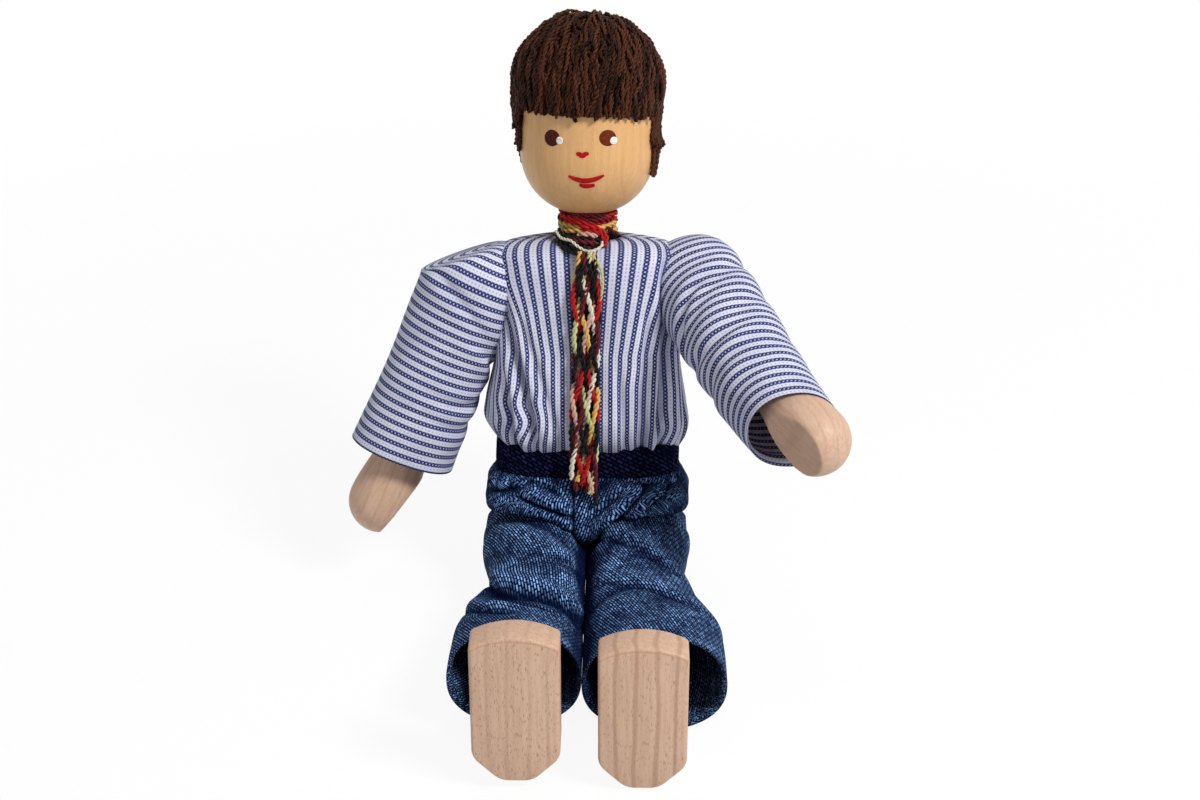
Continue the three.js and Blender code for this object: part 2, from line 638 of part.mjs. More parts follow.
function trouserLeg(side) {
  const outsides = [
    [0, legOutside + THIGH_EASE],
    [THIGH_LENGTH, legOutside + THIGH_EASE],
    [CREASE_AT, legOutside + CREASE_EASE],
    [FLARE_AT, legOutside + FLARE_EASE],
    [TROUSER_LENGTH, legOutside + FLARE_EASE + HEM_FLARE],
  ];
  const fronts = [
    [0, knuckleRadius],
    [CREASE_AT, knuckleRadius],
    [TROUSER_LENGTH, knuckleRadius + HEM_FRONT_EASE],
  ];
  const shell = (wall, stretch) => {
    const rings = [];
    for (const place of steps(TROUSER_LENGTH + stretch, 0, 9)) {
      const outside = along(outsides, place) - wall;
      const inside = INSEAM_GAP + wall;
      const ahead = along(fronts, place) - wall;
      const behind = knuckleRadius + FLOOR_GAP / 2 - wall;
      const swell = TROUSER_FOLD * THREE.MathUtils.smoothstep(place, 0, CREASE_AT);
      rings.push(ring({
        x: side * (outside + inside) / 2,
        y: (behind - ahead) / 2,
        z: -place,
        halfX: (outside - inside) / 2,
        halfY: (ahead + behind) / 2,
        power: 3,
        count: 24,
        fold: (angle) => {
          const upward = Math.max(0, -Math.sin(angle));
          return swell * upward * Math.sin(3 * angle * side + place * 0.42);
        },
      }));
    }
    for (const part of steps(0.25, 0.96, 4)) {
      const angle = (Math.PI / 2) * part;
      const radius = knuckleRadius - wall;
      const outside = outsides[0][1] - wall;
      const inside = INSEAM_GAP + wall;
      rings.push(ring({
        x: side * (outside + inside) / 2,
        z: radius * Math.sin(angle),
        halfX: (outside - inside) / 2,
        halfY: radius * Math.cos(angle),
        power: 3,
        count: 24,
      }));
    }
    return solid(tube(rings));
  };
  const crotch = tongueHalf;
  const room = rod('x', 2 * (gussetRadius + CLEARANCE), -crotch, crotch, 48);
  const high = box(-crotch, crotch, -wide, wide, 0, wide);
  return geometryOf(shell(0, 0).subtract(shell(CLOTH, CLOTH)).subtract(solid(room)).subtract(solid(high)));
}

for (const side of [-1, 1]) {
  const name = side > 0 ? 'left' : 'right';
  const lift = side > 0 ? LEG_LIFT_LEFT : LEG_LIFT_RIGHT;
  const leg = new THREE.Group();
  leg.position.z = hipHeight;
  leg.rotation.x = -radians(90 + lift);
  doll.add(leg);
  add(leg, `leg_${name}`, legSolid(side), beech);
  const ankleLow = footTop - ANKLE_IN_FOOT + CLEARANCE;
  const ankle = rod('z', ANKLE_DOWEL_DIAMETER, ankleLow, legLow + ANKLE_IN_LEG - CLEARANCE);
  add(leg, `ankle_dowel_${name}`, ankle.translate(side * legCentre, 0, 0), beech);
  add(leg, `foot_${name}`, footSolid(side), beech);
  add(leg, `trouser_leg_${name}`, trouserLeg(side), denim);
}

export default doll;
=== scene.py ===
"""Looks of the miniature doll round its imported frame: wood, yarn hair and tie, striped shirt and denim."""
import math
import bmesh
import bpy
import numpy as np
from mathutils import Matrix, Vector


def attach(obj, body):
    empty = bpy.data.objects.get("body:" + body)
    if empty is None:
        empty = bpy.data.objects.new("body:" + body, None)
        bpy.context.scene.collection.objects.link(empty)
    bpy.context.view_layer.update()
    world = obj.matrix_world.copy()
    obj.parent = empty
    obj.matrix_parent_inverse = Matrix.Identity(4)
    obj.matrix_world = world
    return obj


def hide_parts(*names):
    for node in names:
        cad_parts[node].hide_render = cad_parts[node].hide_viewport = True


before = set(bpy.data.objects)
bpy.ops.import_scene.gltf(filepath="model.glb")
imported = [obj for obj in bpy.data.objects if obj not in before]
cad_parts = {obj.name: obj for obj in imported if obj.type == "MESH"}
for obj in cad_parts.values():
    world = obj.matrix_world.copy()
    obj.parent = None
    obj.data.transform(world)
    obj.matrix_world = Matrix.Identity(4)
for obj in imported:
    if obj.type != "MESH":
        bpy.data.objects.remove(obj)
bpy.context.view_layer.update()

# Lengths are in millimetres; lamps, flat sizes of sheets and depths of relief are in metres.
# Angles are in radians, and azimuths of the hair in degrees. The doll's own left is +X.
MM = 0.001
LEFT, RIGHT = 1, -1
SIDE_NAME = {LEFT: "left", RIGHT: "right"}
LEAN = math.radians(11.0)
HIP_HEIGHT = 7.0
LIFT = {LEFT: 0.0, RIGHT: math.radians(1.2)}
SWING = {LEFT: math.radians(64.0), RIGHT: math.radians(3.0)}
SPLAY = math.radians(24.8)
SHOULDER = np.array([17.1, 0.0, 42.5])
SHIRT_THICK, BAND_THICK, DENIM_THICK = 0.4, 0.7, 0.45
# How square a section is: 2 is an ellipse.
SHIRT_SQUARE, SLEEVE_SQUARE, BAND_SQUARE, SEAT_SQUARE, LEG_SQUARE = 2.9, 2.25, 3.2, 2.9, 2.1

# The photograph's camera.
IMAGE_WIDTH, FOCAL_PIXELS, SENSOR_MM = 1200.0, 1928.0, 36.0
CAMERA_DISTANCE, CAMERA_ELEVATION = 312.0, math.radians(27.0)
EYE_X, AIM_X, AIM_UP_TORSO = 6.0, 2.0, 23.4

# Feet.
FOOT_HALF, FOOT_LENGTH, FOOT_THICK = 6.2, 23.6, 5.1
HEEL_BACK, SOLE_AT, LEG_X = 6.6, 57.5, 8.8
HEEL_CHAMFER, TOE_BULGE, TOE_LINE, HEEL_ROUND, FOOT_EASE = 3.9, 1.7, 0.75, 1.3, 0.42

SEED = 7
rng = np.random.default_rng(SEED)


def add_object(name, data):
    obj = bpy.data.objects.new(name, data)
    bpy.context.collection.objects.link(obj)
    return obj


# Frames of the bodies at rest: points in the torso's, a leg's or an arm's own frame, put in the row frame.
def turn_x(p, angle):
    c, s = math.cos(angle), math.sin(angle)
    return np.stack([p[..., 0], p[..., 1] * c - p[..., 2] * s, p[..., 1] * s + p[..., 2] * c], -1)


def turn_y(p, angle):
    c, s = math.cos(angle), math.sin(angle)
    return np.stack([p[..., 0] * c + p[..., 2] * s, p[..., 1], p[..., 2] * c - p[..., 0] * s], -1)


def torso_to_row(p):
    return turn_x(np.asarray(p, float), -LEAN) + (0, 0, HIP_HEIGHT)


def leg_to_row(p, side):
    return turn_x(np.asarray(p, float), -(math.pi / 2 + LIFT[side])) + (0, 0, HIP_HEIGHT)


def splayed_to_row(p, side):
    return torso_to_row(turn_x(p, -SWING[side]) + SHOULDER * (side, 1, 1))


# Curves and sections.
def smooth(x, low, high):
    t = np.clip((np.asarray(x, float) - low) / (high - low), 0, 1)
    return t * t * (3 - 2 * t)


def stations(pairs, x):
    """A smooth curve through (place, value) pairs."""
    places, values = np.array(pairs, float).T
    x = np.clip(np.asarray(x, float), places[0], places[-1])
    i = np.clip(np.searchsorted(places, x, side="right") - 1, 0, len(places) - 2)
    slopes = np.gradient(values, places)
    h = places[i + 1] - places[i]
    t = (x - places[i]) / h
    return ((1 + 2 * t) * (1 - t) ** 2 * values[i] + t * (1 - t) ** 2 * h * slopes[i]
            + t * t * (3 - 2 * t) * values[i + 1] + t * t * (t - 1) * h * slopes[i + 1])


def bump(x, centre, width):
    return np.exp(-(((np.asarray(x, float) - centre) / width) ** 2))


def power_circle(angle, power):
    c, s = np.cos(angle), np.sin(angle)
    return np.sign(c) * np.abs(c) ** (2 / power), np.sign(s) * np.abs(s) ** (2 / power)


def around(cols, start=math.pi / 2):
    """Angles once round a section, from its back unless told otherwise."""
    return np.linspace(start, start + 2 * math.pi, cols)


# Camera.
aim = torso_to_row(np.array([0, 0, AIM_UP_TORSO])) + (AIM_X, 0, 0)
eye = aim - CAMERA_DISTANCE * np.array([0, math.cos(CAMERA_ELEVATION), -math.sin(CAMERA_ELEVATION)])
eye[0] = EYE_X
camera_data = bpy.data.cameras.new("photo_camera")
camera_data.sensor_width = SENSOR_MM
camera_data.sensor_fit = "HORIZONTAL"
camera_data.lens = FOCAL_PIXELS / IMAGE_WIDTH * SENSOR_MM
camera_data.clip_start = 0.01
camera = add_object("photo_camera", camera_data)
camera.location = Vector(eye * MM)
camera.rotation_euler = Vector(aim - eye).to_track_quat("-Z", "Y").to_euler()
bpy.context.scene.camera = camera


class Nodes:
    """Makes the nodes of one tree. Its methods give output sockets, apart from new, which gives the node."""

    def __init__(self, tree):
        self.tree = tree

    def new(self, kind, **inputs):
        node = self.tree.nodes.new(kind)
        self.set(node, **inputs)
        return node

    def put(self, node, key, value):
        if isinstance(value, bpy.types.NodeSocket):
            self.tree.links.new(value, node.inputs[key])
        else:
            node.inputs[key].default_value = value

    def set(self, node, **inputs):
        for key, value in inputs.items():
            self.put(node, key.replace("_", " "), value)

    def math(self, operation, *values):
        node = self.tree.nodes.new("ShaderNodeMath")
        node.operation = operation
        for i, value in enumerate(values):
            self.put(node, i, value)
        return node.outputs[0]

    def times(self, a, b):
        return self.math("MULTIPLY", a, b)

    def plus(self, a, b):
        return self.math("ADD", a, b)

    def minus(self, a, b):
        return self.math("SUBTRACT", a, b)

    def larger(self, a, b):
        return self.math("MAXIMUM", a, b)

    def length(self, a, b):
        return self.math("SQRT", self.plus(self.times(a, a), self.times(b, b)))

    def vmath(self, operation, *vectors, scale=None):
        node = self.tree.nodes.new("ShaderNodeVectorMath")
        node.operation = operation
        for i, vector in enumerate(vectors):
            self.put(node, i, vector)
        if scale is not None:
            self.put(node, "Scale", scale)
        return node.outputs[0]

    def mix(self, factor, a, b):
        node = self.tree.nodes.new("ShaderNodeMix")
        node.data_type = "RGBA"
        for i, value in ((0, factor), (6, a), (7, b)):
            self.put(node, i, (*value, 1.0) if isinstance(value, tuple) else value)
        return node.outputs[2]

    def steps(self, value, low, high, to_low=0.0, to_high=1.0):
        node = self.tree.nodes.new("ShaderNodeMapRange")
        node.interpolation_type = "SMOOTHSTEP"
        self.set(node, Value=value, From_Min=low, From_Max=high, To_Min=to_low, To_Max=to_high)
        return node.outputs[0]

    def noise(self, vector, scale, detail=2.0, roughness=0.5):
        node = self.new("ShaderNodeTexNoise", Vector=vector, Scale=scale, Detail=detail, Roughness=roughness)
        return node.outputs["Fac"]

    def split(self, vector):
        return self.new("ShaderNodeSeparateXYZ", Vector=vector).outputs[0:3]

    def join(self, x, y, z=0.0):
        return self.new("ShaderNodeCombineXYZ", X=x, Y=y, Z=z).outputs[0]

    def object_mm(self):
        return self.vmath("SCALE", self.new("ShaderNodeTexCoord").outputs["Object"], scale=1 / MM)

    def uv_mm(self):
        return self.new("ShaderNodeUVMap").outputs[0]

    def attribute(self, name, output="Fac"):
        node = self.new("ShaderNodeAttribute")
        node.attribute_name = name
        return node.outputs[output]

    def group(self, tree, **inputs):
        node = self.tree.nodes.new("ShaderNodeGroup")
        node.node_tree = tree
        self.set(node, **inputs)
        return node.outputs

    def emboss(self, shader, height, distance, strength):
        node = self.new("ShaderNodeBump", Height=height, Distance=distance, Strength=strength)
        self.put(shader, "Normal", node.outputs[0])

    def seen(self):
        """1 for the rays that show a background: to the camera, mirrored or through something clear."""
        rays = self.new("ShaderNodeLightPath").outputs
        indirect = self.larger(rays["Is Glossy Ray"], rays["Is Transmission Ray"])
        return self.larger(rays["Is Camera Ray"], indirect)


def material(name):
    mat = bpy.data.materials.new(name)
    mat.use_nodes = True
    return mat, Nodes(mat.node_tree), mat.node_tree.nodes["Principled BSDF"]


def shader_group(name, inputs, outputs):
    """A new shader node group with named sockets: its tree, its maker, its inputs and its outputs."""
    tree = bpy.data.node_groups.new(name, "ShaderNodeTree")
    for label, kind in inputs:
        tree.interface.new_socket(label, in_out="INPUT", socket_type="NodeSocket" + kind)
    for label in outputs:
        tree.interface.new_socket(label, in_out="OUTPUT", socket_type="NodeSocketFloat")
    given = tree.nodes.new("NodeGroupInput").outputs
    return tree, Nodes(tree), given, tree.nodes.new("NodeGroupOutput")


def wood_grain_group():
    """Streaks, growth rings, pores and cloudiness of wood whose grain runs along Z of Place."""
    tree, n, given, out = shader_group(
        "wood_grain", [("Place", "Vector"), ("Ring Spacing", "Float"), ("Wobble", "Float")],
        ["Streak", "Rings", "Pores", "Cloud"])
    x, y, z = n.split(given["Place"])

    def stretched(across, along, detail, roughness=0.5):
        place = n.join(n.times(x, across), n.times(y, across), n.times(z, along))
        return n.noise(place, 1.0, detail, roughness)

    wobble = n.times(stretched(0.12, 0.035, 2.0), given["Wobble"])
    turns = n.plus(n.math("DIVIDE", x, given["Ring Spacing"]), wobble)
    ring = n.math("SINE", n.times(turns, 2 * math.pi))
    n.set(out, Rings=n.steps(ring, 0.55, 1.0), Streak=stretched(1.7, 0.09, 4.0, 0.6),
          Pores=n.steps(stretched(5.5, 1.5, 2.0), 0.54, 0.74), Cloud=n.noise(given["Place"], 0.11, 2.0))
    return tree


def weave_group():
    """Short floating threads of a woven cloth, lighter and darker by slubs, on a UV in millimetres."""
    tree, n, given, out = shader_group(
        "fabric_weave",
        [("Place", "Vector"), ("Thread Length", "Float"), ("Thread Width", "Float"), ("Gap", "Float")],
        ["Threads", "Height", "Worn"])
    place = given["Place"]
    wander = n.noise(place, 1.3, 3.0)
    u, v, _ = n.split(place)
    moved = n.join(n.math("MULTIPLY_ADD", wander, 0.22, u), n.math("MULTIPLY_ADD", wander, 0.16, v))
    weave = n.new("ShaderNodeTexBrick", Vector=moved, Scale=1.0, Brick_Width=given["Thread Length"],
                  Row_Height=given["Thread Width"], Mortar_Size=given["Gap"], Mortar_Smooth=0.6, Bias=-0.1,
                  Color1=(1, 1, 1, 1), Color2=(0.15, 0.15, 0.15, 1), Mortar=(0, 0, 0, 1))
    weave.offset = 0.5
    warp = n.noise(n.join(n.times(u, 2.6), n.times(v, 0.25)), 1.0, 3.0)
    weft = n.noise(n.join(n.times(u, 0.25), n.times(v, 2.6)), 1.0, 3.0)
    slub = n.steps(n.plus(n.times(warp, 0.5), n.times(weft, 0.5)), 0.34, 0.66, 0.10, 1.25)
    n.put(out, "Threads", n.times(weave.outputs["Color"], slub))
    n.put(out, "Height", n.plus(n.times(weave.outputs["Fac"], -0.7), n.times(warp, 0.3)))
    n.put(out, "Worn", n.noise(place, 0.16, 3.0))
    return tree


WOOD_GRAIN = wood_grain_group()
WEAVE = weave_group()


def wood(name, light, dark, fleck, fleck_amount, ring_amount, ring_spacing, wobble, rough, coat):
    """A sanded wood whose grain follows the piece's own "grain" attribute."""
    mat, n, shader = material(name)
    place = n.attribute("grain", "Vector")
    grain = n.group(WOOD_GRAIN, Place=place, Ring_Spacing=ring_spacing, Wobble=wobble)
    tone = n.plus(n.times(n.steps(grain["Streak"], 0.3, 0.72), 0.55), n.times(grain["Cloud"], 0.45))
    colour = n.mix(n.times(grain["Rings"], ring_amount), n.mix(tone, dark, light), fleck)
    colour = n.mix(n.times(grain["Pores"], fleck_amount), colour, fleck)
    n.set(shader, Base_Color=colour, Specular_IOR_Level=0.35, Coat_Weight=coat, Coat_Roughness=0.38)
    n.put(shader, "Roughness", n.steps(grain["Streak"], 0.2, 0.8, rough + 0.06, rough - 0.05))
    n.emboss(shader, n.minus(n.times(grain["Streak"], 0.5), n.times(grain["Pores"], 0.5)), 0.00006, 0.5)
    return mat, n, shader, colour


BEECH_TONES = (0.63, 0.425, 0.305), (0.48, 0.30, 0.205), (0.28, 0.14, 0.08)
MAPLE_TONES = (0.68, 0.39, 0.165), (0.58, 0.315, 0.122), (0.40, 0.19, 0.065)
MAPLE = wood("maple", *MAPLE_TONES, fleck_amount=0.28, ring_amount=0.10, ring_spacing=2.6, wobble=2.0,
             rough=0.42, coat=0.15)[0]
BEECH = wood("beech", *BEECH_TONES, fleck_amount=0.30, ring_amount=0.16, ring_spacing=2.2, wobble=2.0,
             rough=0.55, coat=0.05)[0]


def sole_beech(name, ring_amount, fleck_amount):
    """Beech of a foot, with the one dark growth line that runs along the toe's edge."""
    mat, n, shader, colour = wood(name, *BEECH_TONES, fleck_amount, ring_amount, ring_spacing=2.7, wobble=1.1,
                                  rough=0.55, coat=0.05)
    x, y, z = n.split(n.attribute("grain", "Vector"))
    from_edge = n.minus(z, n.times(n.times(x, x), TOE_BULGE / FOOT_HALF ** 2))
    wavy = n.math("MULTIPLY_ADD", n.noise(n.join(x, y, z), 0.5, 2.0), 0.5, from_edge)
    line = n.steps(n.math("ABSOLUTE", n.minus(wavy, TOE_LINE)), 0.17, 0.04)
    n.put(shader, "Base Color", n.mix(n.times(line, 0.55), colour, (0.47, 0.22, 0.09)))
    return mat


def beech_inside():
    """Beech for the plain sticks and dowels that stay as the frame has them."""
    mat, n, shader = material("beech_inside")
    x, y, z = n.split(n.object_mm())
    grain = n.group(WOOD_GRAIN, Place=n.join(x, z, y), Ring_Spacing=2.2, Wobble=2.0)
    light, dark, _ = BEECH_TONES
    n.set(shader, Base_Color=n.mix(n.steps(grain["Streak"], 0.3, 0.7), dark, light), Roughness=0.6)
    n.emboss(shader, grain["Streak"], 0.00005, 0.5)
    return mat


def paint(name, colour):
    """Brushed paint, a little uneven."""
    mat, n, shader = material(name)
    spread = n.noise(n.object_mm(), 1.6, 3.0)
    darker = tuple(c * 0.72 for c in colour)
    colour = n.mix(n.steps(spread, 0.35, 0.65), darker, colour)
    n.set(shader, Base_Color=colour, Roughness=0.5, Specular_IOR_Level=0.1)
    n.emboss(shader, spread, 0.00003, 0.4)
    return mat


def yarn(name, colour, shade, strand_spread, sheen, gloss):
    """Twisted yarn: fine fibres, and each strand a little lighter or darker by its "strand" attribute."""
    mat, n, shader = material(name)
    fibre = n.noise(n.object_mm(), 9.0, 3.0, 0.7)
    tone = n.plus(n.times(fibre, 1 - strand_spread), n.times(n.attribute("strand"), strand_spread))
    n.put(shader, "Base Color", n.mix(n.steps(tone, 0.2, 0.8), tuple(c * shade for c in colour), colour))
    n.set(shader, Roughness=0.5, Specular_IOR_Level=gloss, Sheen_Weight=sheen, Sheen_Roughness=0.45)
    n.put(shader, "Sheen Tint", (*[min(1.0, 2.0 * c + 0.04) for c in colour], 1.0))
    n.emboss(shader, fibre, 0.00006, 0.8)
    return mat


def shirting():
    """White cotton with blue chain stripes: UV u crosses the stripes and v runs along them."""
    mat, n, shader = material("shirting")
    place = n.uv_mm()
    u, v, _ = n.split(place)
    period, link, thread = 1.5, 0.60, 0.2

    def from_middle(way, repeat):
        share = n.math("FRACT", n.math("DIVIDE", way, repeat))
        return n.math("ABSOLUTE", n.minus(n.times(share, repeat), repeat / 2))

    a, b = from_middle(u, period), from_middle(v, link)
    square = n.larger(n.times(a, 0.86), b)
    radius = n.plus(n.times(square, 0.45), n.times(n.length(a, b), 0.55))
    ring = n.times(n.steps(radius, 0.08, 0.15), n.steps(radius, 0.37, 0.30))
    in_stripe = n.steps(a, 0.45, 0.38)
    link_join = n.times(n.steps(b, 0.21, 0.28), n.steps(a, 0.26, 0.17))
    dark = n.times(n.larger(ring, link_join), in_stripe)
    pin = n.times(n.steps(n.minus(period / 2, a), 0.14, 0.06), n.steps(b, 0.16, 0.09))
    weave = n.group(WEAVE, Place=place, Thread_Length=thread, Thread_Width=thread, Gap=0.03)
    white = n.mix(n.steps(weave["Worn"], 0.3, 0.7), (0.65, 0.655, 0.76), (0.77, 0.77, 0.86))
    white = n.mix(n.steps(weave["Height"], -0.6, 0.1, 0.3, 0.0), white, (0.30, 0.31, 0.50))
    navy = n.mix(n.steps(weave["Threads"], 0.1, 0.9), (0.014, 0.020, 0.095), (0.050, 0.064, 0.23))
    stripe = n.mix(n.times(in_stripe, 0.38), white, (0.20, 0.24, 0.55))
    colour = n.mix(n.times(pin, 0.55), stripe, (0.16, 0.17, 0.36))
    # Painted shade: darker and bluer where the shirt's fold rise is low, in its creases.
    shaded = n.steps(n.attribute("rise"), -0.9, 0.2, 0.55, 0.0)
    colour = n.mix(shaded, n.mix(dark, colour, navy), (0.10, 0.11, 0.22))
    n.set(shader, Base_Color=colour, Roughness=0.82, Specular_IOR_Level=0.15)
    n.emboss(shader, n.plus(weave["Height"], n.times(dark, 0.5)), 0.00007, 0.6)
    return mat


def woven(name, light, dark, thread_length, thread_width, gap, turn, depth):
    """Cloth of light threads floating on a dark ground, turned on the cloth, with painted shade in its folds
    and painted light on their ridges.
    """
    mat, n, shader = material(name)
    turned = n.new("ShaderNodeVectorRotate", Vector=n.uv_mm(), Angle=turn)
    turned.rotation_type = "Z_AXIS"
    weave = n.group(WEAVE, Place=turned.outputs[0], Thread_Length=thread_length,
                    Thread_Width=thread_width, Gap=gap)
    tone = n.times(weave["Threads"], n.steps(weave["Worn"], 0.25, 0.75, 0.7, 1.2))
    # Painted shade and light: the fold rise darkens the threads in hollows and lightens them on ridges.
    tone = n.times(tone, n.steps(n.attribute("rise"), -1.1, 0.7, 0.05, 1.3))
    n.set(shader, Base_Color=n.mix(tone, dark, light), Roughness=0.88, Specular_IOR_Level=0.02)
    n.emboss(shader, weave["Height"], depth, 0.8)
    return mat


STICK = beech_inside()
SHIRTING = shirting()
DENIM = woven("denim", (0.30, 0.54, 1.0), (0.0012, 0.0042, 0.028), thread_length=0.86, thread_width=0.43,
              gap=0.15, turn=1.2, depth=0.0002)
BAND = woven("band_weave", (0.024, 0.030, 0.105), (0.0006, 0.0008, 0.006), thread_length=1.15,
             thread_width=0.60, gap=0.19, turn=0.5, depth=0.0004)
HAIR_YARN = yarn("hair_yarn", (0.088, 0.027, 0.012), shade=0.01, strand_spread=0.42, sheen=0.0, gloss=0.08)

WELD = 0.002


def build(name, verts, faces, mat, uv=None, grain=None, rise=None):
    """A smooth mesh from millimetre points, welded, with its own UV, grain place and fold rise if given."""
    mesh = bpy.data.meshes.new(name)
    mesh.from_pydata((np.asarray(verts, float).reshape(-1, 3) * MM).tolist(), [], faces)
    mesh.polygons.foreach_set("use_smooth", [True] * len(mesh.polygons))
    if uv is not None:
        corner = np.empty(len(mesh.loops), int)
        mesh.loops.foreach_get("vertex_index", corner)
        layer = mesh.uv_layers.new(name="cloth")
        layer.data.foreach_set("uv", np.asarray(uv, float).reshape(-1, 2)[corner].ravel())
    for label, kind, field, values in (("grain", "FLOAT_VECTOR", "vector", grain),
                                       ("rise", "FLOAT", "value", rise)):
        if values is not None:
            attribute = mesh.attributes.new(label, kind, "POINT")
            attribute.data.foreach_set(field, np.asarray(values, float).ravel())
    mesh.materials.append(mat)
    work = bmesh.new()
    work.from_mesh(mesh)
    bmesh.ops.remove_doubles(work, verts=work.verts, dist=WELD * MM)
    work.to_mesh(mesh)
    work.free()
    mesh.update()
    return add_object(name, mesh)


def grid_faces(rows, cols, wrap=False):
    faces = []
    for r in range(rows - 1):
        for c in range(cols if wrap else cols - 1):
            a, b = r * cols + c, r * cols + (c + 1) % cols
            faces.append((a, b, b + cols, a + cols))
    return faces


def wrapped(name, place, mat, grain=None):
    """A mesh from rings of points that each close on themselves."""
    return build(name, place, grid_faces(*place.shape[:2], wrap=True), mat, grain=grain)


def plain_mesh(obj):
    """Turns an object with modifiers into a plain mesh object of the same name."""
    depsgraph = bpy.context.evaluated_depsgraph_get()
    finished = obj.evaluated_get(depsgraph)
    mesh = bpy.data.meshes.new_from_object(finished, preserve_all_data_layers=True, depsgraph=depsgraph)
    obj.modifiers.clear()
    if obj.type == "MESH":
        obj.data = mesh
        return obj
    name = obj.name
    bpy.data.objects.remove(obj)
    return add_object(name, mesh)


def cloth(name, panels, mat, thick):
    """A sheet sewn from panels, each a grid of points with its UV and fold rise, and thickened inwards. The
    rise also drives painted shade and light in the cloth materials.
    """
    verts, spread, rises, faces = [], [], [], []
    for points, uv, rise in panels:
        start = sum(len(part) for part in verts)
        faces += [tuple(start + i for i in quad) for quad in grid_faces(*points.shape[:2])]
        verts.append(points.reshape(-1, 3))
        spread.append(uv.reshape(-1, 2))
        rises.append(np.broadcast_to(rise, points.shape[:2]).ravel())
    uv, rise = np.concatenate(spread), np.concatenate(rises)
    obj = build(name, np.concatenate(verts), faces, mat, uv=uv, rise=rise)
    shell = obj.modifiers.new("thickness", "SOLIDIFY")
    shell.thickness = thick * MM
    shell.offset = -1.0
    shell.use_even_offset = False
    return plain_mesh(obj)


def arc_uv(points, across_first=True, even=True):
    """UV in millimetres: the way round each row from its middle, and along the columns, evened or not."""
    steps = np.linalg.norm(np.diff(points, axis=1), axis=2)
    run = np.concatenate([np.zeros((len(points), 1)), np.cumsum(steps, 1)], 1)
    run -= run[:, points.shape[1] // 2][:, None]
    rise = np.linalg.norm(np.diff(points, axis=0), axis=2)
    rise = np.broadcast_to(rise.mean(1, keepdims=True), rise.shape) if even else rise
    climb = np.concatenate([np.zeros((1, points.shape[1])), np.cumsum(rise, 0)])
    return np.stack([run, climb] if across_first else [climb, run], -1)


def lathe(profile, count):
    """Ring points (rows, count, 3) of a profile of (radius, height) about Z."""
    radius, height = np.asarray(profile, float).T[:, :, None]
    angle = np.linspace(0, 2 * math.pi, count, endpoint=False)
    return np.stack([radius * np.cos(angle), radius * np.sin(angle), height + 0 * angle], -1)


def dress(piece, body, slot, *nodes):
    """Puts a piece on its body, in place of the CAD nodes named, which it hides; the slot is not used."""
    if nodes:
        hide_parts(*nodes)
    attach(piece, body)


# Head.
HEAD_RADIUS, HEAD_LOW, HEAD_HIGH, HEAD_POWER = 10.6, 64.6, 73.9, 2.15
CHIN = HEAD_LOW - HEAD_RADIUS


def head_profile(steps, grow=0.0):
    """Radius and height from the chin to the crown."""
    quarter = np.linspace(0, math.pi / 2, steps)
    rising, falling = ((HEAD_RADIUS + grow) * f(quarter) ** (2 / HEAD_POWER) for f in (np.sin, np.cos))
    low = np.stack([rising, HEAD_LOW - falling], -1)
    high = np.stack([falling, HEAD_HIGH + rising], -1)
    return np.concatenate([low, high])


head_points = lathe(head_profile(steps=40), count=120)
head = wrapped("head_wood", torso_to_row(head_points), MAPLE, grain=head_points)
dress(head, "head", "maple", "head")


# Painted face.
def on_head(round_head, above_chin, lift):
    """A place on the face, by millimetres round the head from its front and above the chin, off the wood."""
    z = CHIN + np.asarray(above_chin, float)
    below = np.clip(HEAD_LOW - z, 0, HEAD_RADIUS)
    radius = (HEAD_RADIUS ** HEAD_POWER - below ** HEAD_POWER) ** (1 / HEAD_POWER)
    angle = np.asarray(round_head, float) / HEAD_RADIUS
    out = np.stack([np.sin(angle), -np.cos(angle), np.zeros_like(angle)], -1)
    normal = out * radius[..., None] - below[..., None] * (0, 0, 1)
    normal /= np.linalg.norm(normal, axis=-1, keepdims=True)
    return out * radius[..., None] + z[..., None] * (0, 0, 1) + normal * np.asarray(lift)[..., None]


def face_patch(name, outline, mat, lift=0.10):
    """A dab of paint with an outline in face millimetres, thinning to its edge."""
    outline = np.asarray(outline, float)
    centre = outline.mean(0)
    rings = np.array([0.0, 0.35, 0.62, 0.82, 0.94, 1.0])[:, None, None]
    rises = np.array([1.0, 0.97, 0.9, 0.75, 0.5, -0.3])[:, None] * lift
    spots = centre + rings * (outline - centre)
    points = on_head(spots[..., 0], spots[..., 1], rises + np.zeros(spots.shape[:2]))
    dress(wrapped(name, torso_to_row(points), mat), "head", "maple")


def oval(x, y, half_x, half_y, tilt=0.0, count=36):
    angle = np.linspace(0, 2 * math.pi, count, endpoint=False)
    px, py = half_x * np.cos(angle), half_y * np.sin(angle)
    c, s = math.cos(tilt), math.sin(tilt)
    return np.stack([x + px * c - py * s, y + px * s + py * c], -1)


def stroke(points, widths, count=24):
    """The outline of a brush stroke along face points."""
    points = np.asarray(points, float)
    t = np.linspace(0, 1, len(points))
    s = np.linspace(0, 1, count)
    line = np.stack([stations(list(zip(t, points[:, k])), s) for k in (0, 1)], -1)
    half = stations(list(zip(t, widths)), s)[:, None] / 2
    tangent = np.gradient(line, axis=0)
    side = np.stack([-tangent[:, 1], tangent[:, 0]], -1) / np.linalg.norm(tangent, axis=1)[:, None]
    return np.concatenate([line - side * half, (line + side * half)[::-1]])


